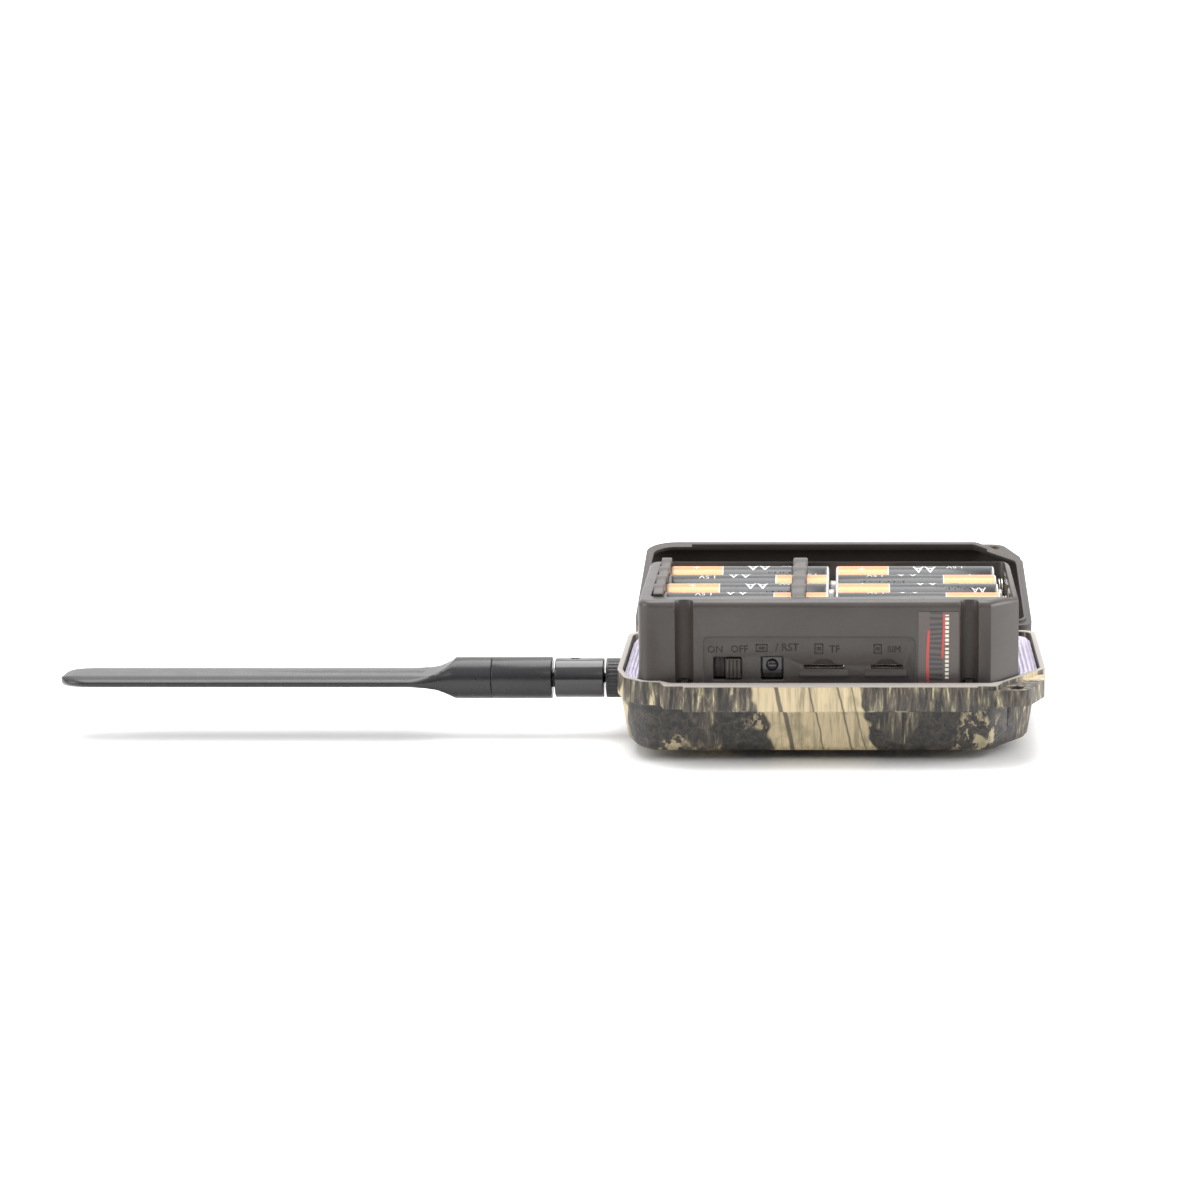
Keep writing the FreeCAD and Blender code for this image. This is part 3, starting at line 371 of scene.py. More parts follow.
def cover_film():
    """Camouflage outside the rear cover and bare brown plastic inside, told apart by depth in the wall."""
    settings = bpy.context.scene.camera_plastic
    palette = bpy.context.scene.camera_camouflage
    finish = Finish("camouflage_cover", palette.bark, 0.5)
    turn = finish.add("ShaderNodeVectorRotate", rotation_type="X_AXIS")
    finish.put(turn.inputs["Vector"], finish.place)
    turn.inputs["Center"].default_value = HINGE_LINE
    turn.inputs["Angle"].default_value = COVER_OPEN
    closed = turn.outputs[0]
    pattern, streak = camouflage_colour(finish, closed, palette, front_wood_and_shade=False)
    # depth below the outline: a rounded rectangle whose tripod-side corner is cut off
    from_middle = finish.vector("ABSOLUTE", finish.vector("SUBTRACT", closed, COVER_MIDDLE))
    inner_half = (COVER_HALF[0] - COVER_CORNER, COVER_HALF[1] - COVER_CORNER, 1000.0)
    beyond = finish.vector("MAXIMUM", finish.vector("SUBTRACT", from_middle, inner_half), (0.0, 0.0, 0.0))
    depth = finish.math("SUBTRACT", finish.vector("LENGTH", beyond), COVER_CORNER)
    z = finish.axes(closed)[2]
    corner = finish.vector("DOT_PRODUCT", finish.vector("SUBTRACT", closed, (48.4, -46.0, 0.0)),
                           (0.804, -0.596, 0.0))
    depth = finish.math("MAXIMUM", depth, corner)
    inside = finish.math("MULTIPLY", finish.step(depth, -0.7, -0.9), finish.step(z, 51.25, 51.15))
    parting = finish.step(z, 26.35, 26.15)
    bare = finish.math("MAXIMUM", inside, parting)
    finish.paint(finish.mix(bare, pattern, bare_plastic(finish, settings.housing)))
    finish.roughen(streak, 0.40, 0.56)
    finish.emboss(finish.math("MULTIPLY", streak, finish.math("SUBTRACT", 1.0, bare)), 0.05)
    return finish.material


def seal_rubber():
    tint = tuple(bpy.context.scene.camera_seal.tint)
    finish = Finish("silicone_seal", tint, 0.5, Subsurface_Weight=0.15)
    finish.shader.inputs["Subsurface Radius"].default_value = (0.002, 0.002, 0.002)
    dust = finish.noise(0.35, detail=5.0, rough=0.7)
    finish.paint(finish.ramp(dust, (0.35, shade(tint, 0.80)), (0.55, tint), (0.75, shade(tint, 1.15))))
    finish.roughen(dust, 0.42, 0.62)
    finish.emboss(finish.noise(1.6, detail=2.0), 0.03)
    return finish.material


def cell_jacket(plus_end, flat_end):
    """Foil jacket along the cell's own X: copper at the plus end, dark for the rest, bare steel rims."""
    settings = bpy.context.scene.camera_cells
    finish = Finish("cell_jacket", settings.jacket, 0.26, Metallic=0.15, Coat_Weight=0.15,
                    Coat_Roughness=0.12)
    x = finish.axes()[0]
    scuff = finish.noise(0.25, stretch=(0.25, 1.0, 1.0), detail=5.0, rough=0.7)
    copper = finish.ramp(scuff, (0.3, shade(settings.copper, 0.86)), (0.7, shade(settings.copper, 1.1)))
    dark = finish.ramp(scuff, (0.3, shade(settings.jacket, 0.7)), (0.7, shade(settings.jacket, 1.5)))
    band = finish.step(x, plus_end - settings.band / MM - 0.05, plus_end - settings.band / MM + 0.05)
    jacket = finish.mix(band, dark, copper)
    hem = finish.span(x, plus_end - settings.band / MM - 0.35, plus_end - settings.band / MM - 0.05, 0.04)
    jacket = finish.mix(hem, jacket, (0.55, 0.53, 0.50))
    ends = finish.math("MAXIMUM", finish.step(x, plus_end - 0.75, plus_end - 0.65),
                       finish.step(x, flat_end + 0.75, flat_end + 0.65))
    finish.paint(finish.mix(ends, jacket, (0.62, 0.60, 0.58)))
    finish.roughen(scuff, 0.18, 0.36)
    finish.emboss(scuff, 0.01)
    return finish.material


def label_art():
    """A generic sticker: dark rippled field between two red strokes, with a column of pale dashes."""
    low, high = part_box("label_plate")
    width = (high.x - low.x) / MM
    tall = (high.z - low.z) / MM
    finish = Finish("label_art", (0.07, 0.055, 0.05), 0.33, Coat_Weight=0.3)
    x, _, z = finish.axes()
    across = finish.math("DIVIDE", finish.math("SUBTRACT", x, low.x / MM), width)
    up = finish.math("DIVIDE", finish.math("SUBTRACT", z, low.z / MM), tall)
    sway = finish.math("MULTIPLY", finish.math("SINE", finish.math("MULTIPLY", up, 5.5)), 0.018)
    swayed = finish.math("ADD", across, sway)
    ripple_place = finish.vector("MULTIPLY", finish.place, (0.30, 0.0, 1.0))
    ripple = finish.add("ShaderNodeTexWave", wave_type="BANDS", bands_direction="Z", wave_profile="SIN")
    finish.put(ripple.inputs["Vector"], ripple_place)
    ripple.inputs["Scale"].default_value = 0.21
    ripple.inputs["Distortion"].default_value = 5.5
    ripple.inputs["Detail"].default_value = 2.0
    crest = finish.step(ripple.outputs["Fac"], 0.45, 0.6)
    field = finish.mix(crest, (0.075, 0.062, 0.058), (0.030, 0.027, 0.027))
    inside = finish.span(across, 0.28, 0.60, 0.01)
    art = finish.mix(inside, (0.080, 0.064, 0.058), field)
    left = finish.all_of(finish.span(swayed, 0.215, 0.275, 0.012), finish.span(up, 0.04, 0.74, 0.03))
    right = finish.all_of(finish.span(swayed, 0.590, 0.640, 0.012), finish.span(up, 0.36, 0.97, 0.02))
    art = finish.mix(finish.math("MAXIMUM", left, right), art, (0.52, 0.035, 0.025))
    beat = finish.math("FRACT", finish.math("MULTIPLY", up, 17.0))
    gap = finish.span(up, 0.50, 0.54, 0.005)
    dashes = finish.all_of(finish.span(across, 0.665, 0.755, 0.012), finish.step(beat, 0.70, 0.62),
                           finish.span(up, 0.07, 0.96, 0.01), finish.math("SUBTRACT", 1.0, gap))
    finish.paint(finish.mix(dashes, art, (0.74, 0.70, 0.58)))
    finish.roughen(finish.noise(0.3), 0.28, 0.40)
    return finish.material


def circuit_board():
    finish = Finish("solder_mask", (0.02, 0.12, 0.05), 0.32, Coat_Weight=0.4)
    traces = finish.add("ShaderNodeTexBrick")
    finish.put(traces.inputs["Vector"], finish.vector("SCALE", finish.place, scale=0.32))
    traces.inputs["Mortar Size"].default_value = 0.035
    traces.inputs["Color1"].default_value = (0.012, 0.085, 0.036, 1.0)
    traces.inputs["Color2"].default_value = (0.016, 0.105, 0.042, 1.0)
    traces.inputs["Mortar"].default_value = (0.06, 0.24, 0.09, 1.0)
    finish.paint(traces.outputs["Color"])
    finish.roughen(finish.noise(0.4), 0.24, 0.42)
    return finish.material


def dark_window():
    finish = Finish("infrared_window", (0.012, 0.006, 0.009), 0.08, Coat_Weight=1.0, Coat_Roughness=0.03)
    smear = finish.noise(0.12, stretch=(1.0, 0.4, 1.0), detail=4.0)
    finish.paint(finish.ramp(smear, (0.3, (0.010, 0.005, 0.008)), (0.7, (0.022, 0.010, 0.014))))
    finish.roughen(smear, 0.05, 0.16)
    return finish.material


def coated_glass():
    finish = Finish("coated_glass", (0.70, 0.78, 0.86), 0.02, Transmission_Weight=1.0, IOR=1.5,
                    Coat_Weight=1.0)
    bloom = finish.noise(0.2, detail=2.0)
    finish.paint(finish.ramp(bloom, (0.3, (0.55, 0.68, 0.86)), (0.7, (0.80, 0.74, 0.88))))
    finish.roughen(bloom, 0.01, 0.04)
    return finish.material


def fresnel_lens():
    """Milky moulded lens with a grid of small facets, each ringed by fine grooves."""
    finish = Finish("milky_lens", (0.80, 0.80, 0.77), 0.38, Subsurface_Weight=0.3)
    finish.shader.inputs["Subsurface Radius"].default_value = (0.003, 0.003, 0.003)
    facets = finish.add("ShaderNodeTexVoronoi", feature="F1")
    finish.put(facets.inputs["Vector"], finish.place)
    facets.inputs["Scale"].default_value = 0.17
    facets.inputs["Randomness"].default_value = 0.0
    rings = finish.math("SINE", finish.math("MULTIPLY", facets.outputs["Distance"], 55.0))
    milk = finish.ramp(facets.outputs["Distance"], (0.2, (0.84, 0.84, 0.81)), (0.7, (0.70, 0.70, 0.67)))
    finish.paint(milk)
    finish.roughen(rings, 0.30, 0.44)
    finish.emboss(rings, 0.06)
    return finish.material


def lamp_epoxy():
    finish = Finish("lamp_epoxy", (0.34, 0.36, 0.44), 0.12, Transmission_Weight=0.55, IOR=1.5)
    cloud = finish.noise(0.6)
    finish.paint(finish.ramp(cloud, (0.3, (0.28, 0.30, 0.38)), (0.7, (0.42, 0.43, 0.50))))
    finish.roughen(cloud, 0.08, 0.18)
    return finish.material


FINISHES = {}


def finish_for(name):
    """Makes each finish once, the first time that a piece asks for it."""
    plastics = bpy.context.scene.camera_plastic
    makers = {
        "front_film": front_film,
        "cover_film": cover_film,
        "housing": lambda: moulded("housing_plastic", plastics.housing, 0.34, 0.012),
        # markings: housing plastic painted darker, as painted shade of the lettering's relief
        "markings": lambda: moulded("marking_painted_shade", plastics.panel, 0.42, 0.010),
        "satin_black": lambda: moulded("satin_black", plastics.black, 0.27, 0.008),
        "gloss_black": lambda: moulded("gloss_black", shade(plastics.black, 0.8), 0.16, 0.003,
                                       Coat_Weight=0.5),
        "soft_rubber": lambda: moulded("soft_rubber", (0.022, 0.022, 0.022), 0.62, 0.03),
        "seal": seal_rubber,
        "label_art": label_art,
        "board": circuit_board,
        "window": dark_window,
        "glass": coated_glass,
        "milky_lens": fresnel_lens,
        "lamps": lamp_epoxy,
        "ink": lambda: moulded("printed_ink", bpy.context.scene.camera_cells.ink, 0.40, 0.004),
        "steel": lambda: metal("plated_steel", (0.56, 0.56, 0.57), 0.30),
        "blackened": lambda: metal("blackened_steel", (0.09, 0.085, 0.08), 0.34),
        "spring_steel": lambda: metal("nickel_contact", (0.78, 0.74, 0.68), 0.22),
        "brass": lambda: metal("machined_brass", (0.74, 0.54, 0.26), 0.28, stretch=(3.0, 1.0, 1.0)),
    }
    if name not in FINISHES:
        FINISHES[name] = makers[name]()
    return FINISHES[name]


def coat(node, name):
    """Gives a CAD node its finish."""
    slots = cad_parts[node].material_slots
    for slot in slots:
        slot.link = "OBJECT"
        slot.material = finish_for(name)


# ---------------------------------------------------------------- mesh helpers

def add_mesh(name, bm, material, smooth=True):
    mesh = bpy.data.meshes.new(name)
    bmesh.ops.recalc_face_normals(bm, faces=bm.faces)
    bm.to_mesh(mesh)
    bm.free()
    piece = bpy.data.objects.new(name, mesh)
    bpy.context.scene.collection.objects.link(piece)
    mesh.materials.append(material)
    if smooth:
        mesh.shade_smooth()
        mesh.set_sharp_from_angle(angle=math.radians(38))
    return piece


def applied(piece):
    """The piece with its modifiers baked into its mesh."""
    bpy.context.view_layer.update()
    graph = bpy.context.evaluated_depsgraph_get()
    mesh = bpy.data.meshes.new_from_object(piece.evaluated_get(graph), depsgraph=graph)
    piece.modifiers.clear()
    piece.data = mesh
    return piece


def node_copy(node):
    """A working copy of a CAD node's mesh with its flat faces joined up."""
    bm = bmesh.new()
    bm.from_mesh(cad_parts[node].data)
    bmesh.ops.remove_doubles(bm, verts=bm.verts, dist=1e-6)
    bmesh.ops.dissolve_limit(bm, angle_limit=math.radians(0.5), verts=bm.verts, edges=bm.edges)
    return bm


def softened(node, finish, body, slot, width=None, segments=2):
    """The CAD node's shape with its moulded edges rounded, shown in its place."""
    width = width or bpy.context.scene.camera_plastic.rounding
    piece = add_mesh(node + "_moulded", node_copy(node), finish_for(finish), smooth=False)
    bevel = piece.modifiers.new("edges", "BEVEL")
    bevel.width = width
    bevel.segments = segments
    bevel.limit_method = "ANGLE"
    bevel.angle_limit = math.radians(40)
    bevel.use_clamp_overlap = True
    bevel.miter_outer = "MITER_ARC"
    applied(piece)
    piece.data.shade_smooth()
    piece.data.set_sharp_from_angle(angle=math.radians(32))
    return seat(piece, body, slot, node)


def seat(piece, body, slot, *nodes):
    """Fixes a finished piece to its body and hides the CAD nodes that it replaces."""
    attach(piece, body)
    if nodes:
        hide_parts(*nodes)
    return piece


def lathe(name, profile, material, sides=64):
    """Turns (along, radius) points, in millimetres, about the piece's own X axis."""
    bm = bmesh.new()
    rings = []
    for along, radius in profile:
        ring = []
        for side in range(sides):
            angle = 2 * math.pi * side / sides
            corner = (along * MM, radius * math.cos(angle) * MM, radius * math.sin(angle) * MM)
            ring.append(bm.verts.new(corner))
        rings.append(ring)
    for first, second in zip(rings, rings[1:]):
        for side in range(sides):
            after = (side + 1) % sides
            bm.faces.new((first[side], first[after], second[after], second[side]))
    bm.faces.new(list(reversed(rings[0])))
    bm.faces.new(rings[-1])
    return add_mesh(name, bm, material)


def lettering(name, words, size, material, depth=0.12, align="CENTER"):
    """Flat raised lettering as a mesh lying in its own XY plane, sizes in millimetres."""
    curve = bpy.data.curves.new(name, "FONT")
    curve.body = words
    curve.size = size * MM
    curve.extrude = depth * MM / 2
    curve.align_x = align
    curve.align_y = "CENTER"
    curve.resolution_u = 3
    source = bpy.data.objects.new(name, curve)
    bpy.context.scene.collection.objects.link(source)
    bpy.context.view_layer.update()
    graph = bpy.context.evaluated_depsgraph_get()
    mesh = bpy.data.meshes.new_from_object(source.evaluated_get(graph))
    bpy.data.objects.remove(source)
    mesh.materials.clear()
    mesh.materials.append(material)
    piece = bpy.data.objects.new(name, mesh)
    bpy.context.scene.collection.objects.link(piece)
    return piece


# ---------------------------------------------------------------- pieces

VIEW_SHIFT = (-0.205, 0.0417)
SKY_BEHIND, SKY_OVERHEAD, SKY_FILL = 1.00, 1.22, 0.12


class TRAILCAM_OT_stage(bpy.types.Operator):
    """Add the floor, the soft lights and the viewpoint"""
    bl_idname = "trailcam.stage"
    bl_label = "Stage"

    def execute(self, context):
        settings = context.scene.camera_stage
        self.floor(settings)
        self.lights(context.scene)
        self.viewpoint(context.scene, settings)
        context.scene.view_settings.view_transform = "Standard"
        return {"FINISHED"}

    def floor(self, settings):
        """Wide flat floor that runs out to the bright sky behind the object."""
        bm = bmesh.new()
        corners = [(-60.0, -12.0), (60.0, -12.0), (60.0, 90.0), (-60.0, 90.0)]
        bm.faces.new([bm.verts.new((x, y, -0.02 * MM)) for x, y in corners])
        finish = Finish("studio_paper", settings.floor, 0.75)
        tooth = finish.noise(0.4, detail=2.0)
        finish.paint(finish.ramp(tooth, (0.3, shade(settings.floor, 0.995)), (0.7, settings.floor)))
        add_mesh("studio_floor", bm, finish.material)

    def lights(self, scene):
        world = bpy.data.worlds.new("studio")
        world.use_nodes = True
        self.sky(world.node_tree)
        scene.world = world
        for name, place, target, size, power in (
            ("overhead", (-0.1, 0.30, 1.5), (0.0, 0.0, 0.0), 1.3, 24.0),
            ("right_box", (1.3, -0.05, 0.50), (0.0, 0.0, 0.03), 0.8, 13.0),
            ("left_box", (-1.3, -0.35, 0.60), (0.0, 0.0, 0.03), 0.8, 8.0),
            ("front_box", (0.2, -1.5, 1.1), (0.0, 0.0, 0.02), 0.5, 2.0),
        ):
            light = bpy.data.lights.new(name, "AREA")
            light.size = size
            light.energy = power
            lamp = bpy.data.objects.new(name, light)
            lamp.location = place
            lamp.rotation_euler = (Vector(target) - Vector(place)).to_track_quat("-Z", "Y").to_euler()
            scene.collection.objects.link(lamp)

    def sky(self, tree):
        """White all round, brightest overhead and behind, dimmer in front of the object."""
        direction = tree.nodes.new("ShaderNodeTexCoord").outputs["Generated"]
        split = tree.nodes.new("ShaderNodeSeparateXYZ")
        tree.links.new(direction, split.inputs[0])
        back = tree.nodes.new("ShaderNodeMath")
        back.operation = "MULTIPLY"
        back.use_clamp = True
        tree.links.new(split.outputs["Y"], back.inputs[0])
        back.inputs[1].default_value = SKY_BEHIND
        lift = tree.nodes.new("ShaderNodeMath")
        lift.operation = "MULTIPLY_ADD"
        tree.links.new(split.outputs["Z"], lift.inputs[0])
        lift.inputs[1].default_value = SKY_OVERHEAD
        tree.links.new(back.outputs[0], lift.inputs[2])
        fill = tree.nodes.new("ShaderNodeMath")
        fill.operation = "ADD"
        tree.links.new(lift.outputs[0], fill.inputs[0])
        fill.inputs[1].default_value = SKY_FILL
        tree.links.new(fill.outputs[0], tree.nodes["Background"].inputs["Strength"])
        tree.nodes["Background"].inputs["Color"].default_value = (1.0, 1.0, 1.0, 1.0)

    def viewpoint(self, scene, settings):
        camera = bpy.data.cameras.new("viewpoint")
        camera.lens = settings.focal
        camera.sensor_width = 36.0
        camera.shift_x, camera.shift_y = VIEW_SHIFT
        camera.clip_end = 50.0
        holder = bpy.data.objects.new("viewpoint", camera)
        holder.location = (settings.camera_side, -settings.camera_back, settings.camera_height)
        holder.rotation_euler = (math.pi / 2 - settings.camera_pitch, 0.0, 0.0)
        scene.collection.objects.link(holder)
        scene.camera = holder


class TRAILCAM_OT_shells(bpy.types.Operator):
    """Finish the front shell, the rear cover, the latch and the hinge"""
    bl_idname = "trailcam.shells"
    bl_label = "Shells and Latch"

    def execute(self, context):
        softened("front_shell", "front_film", "camera", "camo_shell")
        softened("rear_cover", "cover_film", "cover", "camo_shell")
        softened("latch_lever", "satin_black", "latch", "black_plastic")
        for pin in ("hinge_pin", "latch_pin"):
            coat(pin, "steel")
        return {"FINISHED"}


class TRAILCAM_OT_housing(bpy.types.Operator):
    """Finish the battery housing, the strap and guard over the cells, and the screws"""
    bl_idname = "trailcam.housing"
    bl_label = "Battery Housing"

    def execute(self, context):
        softened("inner_housing", "housing", "camera", "housing_plastic")
        softened("cell_strap", "housing", "camera", "housing_plastic")
        softened("cell_end_guard", "housing", "camera", "housing_plastic")
        coat("housing_screws", "blackened")
        coat("board_screws", "steel")
        coat("contact_plates", "spring_steel")
        coat("contact_springs", "spring_steel")
        return {"FINISHED"}


class TRAILCAM_OT_seal(bpy.types.Operator):
    """Build the ribbed silicone seal in the case's channel"""
    bl_idname = "trailcam.seal"
    bl_label = "Seal"

    def execute(self, context):
        settings = context.scene.camera_seal
        low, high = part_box("rim_gasket")
        walls = bmesh.new()
        walls.from_mesh(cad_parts["rim_gasket"].data)
        tree = BVHTree.FromBMesh(walls)
        middle = (low + high) / 2
        section = self.section(settings, low.z, high.z)
        bm = bmesh.new()
        rings = []
        samples = 720
        for index in range(samples):
            angle = 2 * math.pi * index / samples
            heading = Vector((math.cos(angle), math.sin(angle), 0.0))
            inner = tree.ray_cast(middle, heading)[0]
            outer = tree.ray_cast(inner + heading * 0.05 * MM, heading)[0]
            rings.append([bm.verts.new((*inner.lerp(outer, share).xy, height)) for share, height in section])
        count = len(section)
        for index, first in enumerate(rings):
            second = rings[(index + 1) % samples]
            for corner in range(count):
                after = (corner + 1) % count
                bm.faces.new((first[corner], second[corner], second[after], first[after]))
        walls.free()
        seat(add_mesh("seal_ribbed", bm, finish_for("seal")), "camera", "silicone_seal", "rim_gasket")
        return {"FINISHED"}

    def section(self, settings, low, high):
        """Ring section as (share of the width, height): flat below, rounded ribs and grooves above."""
        corners = [(0.02, low), (0.0, low + 0.2 * MM)]
        steps = 12 * settings.ribs
        for step in range(steps + 1):
            share = step / steps
            wave = 0.5 - 0.5 * math.cos(2 * math.pi * share * settings.ribs)
            corners.append((0.04 + 0.86 * share, high - settings.rib_height * (1 - wave ** 0.7)))
        return corners + [(0.93, high - 0.9 * MM), (1.0, high - 1.0 * MM), (1.0, low + 0.2 * MM), (0.98, low)]


# marks on a cell: words, place along the can, angle from its top, size; then place, angle, length
CELL_MARKS = (
    ("AA", 21.5, 0.1, 5.4), ("1.5V", 12.0, -0.1, 3.0), ("AA", 6.0, 0.75, 3.2), ("1.5V", 23.0, -1.1, 3.4),
    ("+", 40.5, 0.1, 4.2), ("AA", 18.5, 1.9, 5.0), ("1.5V", 8.5, -2.1, 3.2),
)
CELL_RULES = ((13.0, 0.55, 13.0), (12.0, 0.68, 9.0), (15.0, -0.62, 15.0), (17.0, -0.75, 10.0),
              (12.0, 2.6, 14.0))
INK_LIFT = 0.035


class TRAILCAM_OT_cells(bpy.types.Operator):
    """Build the eight AA cells with their crimped ends and printed jackets"""
    bl_idname = "trailcam.cells"
    bl_label = "AA Cells"

    def execute(self, context):
        can = 48.5
        jacket = cell_jacket(can, 0.0)
        ink = finish_for("ink")
        for number in range(1, 9):
            low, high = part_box(f"battery_cell_{number}")
            radius = (high.z - low.z) / 2 / MM
            row = (number - 1) % 4
            plus_left = row % 2 == 0
            centre = Vector(((high.x if plus_left else low.x), (low.y + high.y) / 2, (low.z + high.z) / 2))
            turn = math.pi if plus_left else 0.0
            spin = math.radians(37 * number % 90 - 45)
            turned = Matrix.Rotation(turn, 4, "Z") @ Matrix.Rotation(spin * 0.3, 4, "X")
            place = Matrix.Translation(centre) @ turned
            piece = lathe(f"cell_{number}", self.profile(radius, can), jacket)
            piece.matrix_world = place
            seat(piece, "camera", "cell_jacket", f"battery_cell_{number}")
            self.print_marks(number, radius, place, ink)
        return {"FINISHED"}

    def profile(self, radius, can):
        """Flat end, rolled edge, straight can, crimped shoulder, insulating ring and plus nub."""
        nub = 2.7
        return [
            (0.25, 0.4), (0.25, 4.4), (0.02, 4.9), (0.02, 5.6), (0.12, radius - 0.55), (0.35, radius - 0.16),
            (0.7, radius), (0.95, radius), (1.05, radius - 0.07), (1.2, radius - 0.07), (1.3, radius),
            (can / 2, radius), (can - 1.3, radius), (can - 0.7, radius - 0.02), (can - 0.3, radius - 0.2),
            (can - 0.08, radius - 0.6), (can, radius - 1.1), (can, nub + 1.2), (can - 0.35, nub + 1.0),
            (can - 0.35, nub + 0.3), (can - 0.1, nub), (can + 1.35, nub), (can + 1.62, nub - 0.1),
            (can + 1.78, nub - 0.45), (can + 1.8, 0.4),
        ]

    def print_marks(self, number, radius, place, ink):
        """Lettering wrapped round the can: size, voltage, plus sign and a few plain rules."""
        upright = number % 2 == 0
        for index, (words, along, angle, size) in enumerate(CELL_MARKS):
            piece = lettering(f"cell_{number}_mark_{index}", words, size, ink, depth=0.04)
            flip = math.pi if upright else 0.0
            self.wrap(piece, radius + INK_LIFT, along, angle, flip)
            piece.matrix_world = place
            seat(piece, "camera", "cell_jacket")
        for index, (along, angle, long) in enumerate(CELL_RULES):
            piece = self.rule(f"cell_{number}_rule_{index}", long, ink)
            self.wrap(piece, radius + INK_LIFT, along, angle, 0.0)
            piece.matrix_world = place
            seat(piece, "camera", "cell_jacket")

    def rule(self, name, long, ink):
        """A row of small dashes, standing for small print."""
        bm = bmesh.new()
        spacing, tall = 0.9, 0.55
        count = int(long / spacing)
        for index in range(count):
            wide = 0.34 + 0.22 * math.sin(index * 2.4)
            x = (index - count / 2) * spacing
            corners = [(x - wide / 2, -tall / 2), (x + wide / 2, -tall / 2), (x + wide / 2, tall / 2),
                       (x - wide / 2, tall / 2)]
            face = bm.faces.new([bm.verts.new((cx * MM, cy * MM, 0.0)) for cx, cy in corners])
            bmesh.ops.extrude_face_region(bm, geom=[face])
        bmesh.ops.translate(bm, vec=(0, 0, -0.02 * MM), verts=bm.verts[:])
        return add_mesh(name, bm, ink, smooth=False)

    def wrap(self, piece, radius, along, angle, flip):
        """Bends a flat mark round the can, at a place along it and an angle from its top."""
        bm = bmesh.new()
        bm.from_mesh(piece.data)
        bmesh.ops.rotate(bm, cent=(0, 0, 0), matrix=Matrix.Rotation(flip, 3, "Z"), verts=bm.verts)
        highest = max(vert.co.y for vert in bm.verts)
        pitch = 0.5 * MM
        for step in range(-int(highest / pitch), int(highest / pitch) + 1):
            geometry = bm.verts[:] + bm.edges[:] + bm.faces[:]
            bmesh.ops.bisect_plane(bm, geom=geometry, plane_co=(0, step * pitch, 0), plane_no=(0, 1, 0))
        for vert in bm.verts:
            around = angle + vert.co.y / (radius * MM)
            reach = radius * MM + vert.co.z
            vert.co = Vector((along * MM + vert.co.x, reach * math.sin(around), reach * math.cos(around)))
        bm.to_mesh(piece.data)
        bm.free()


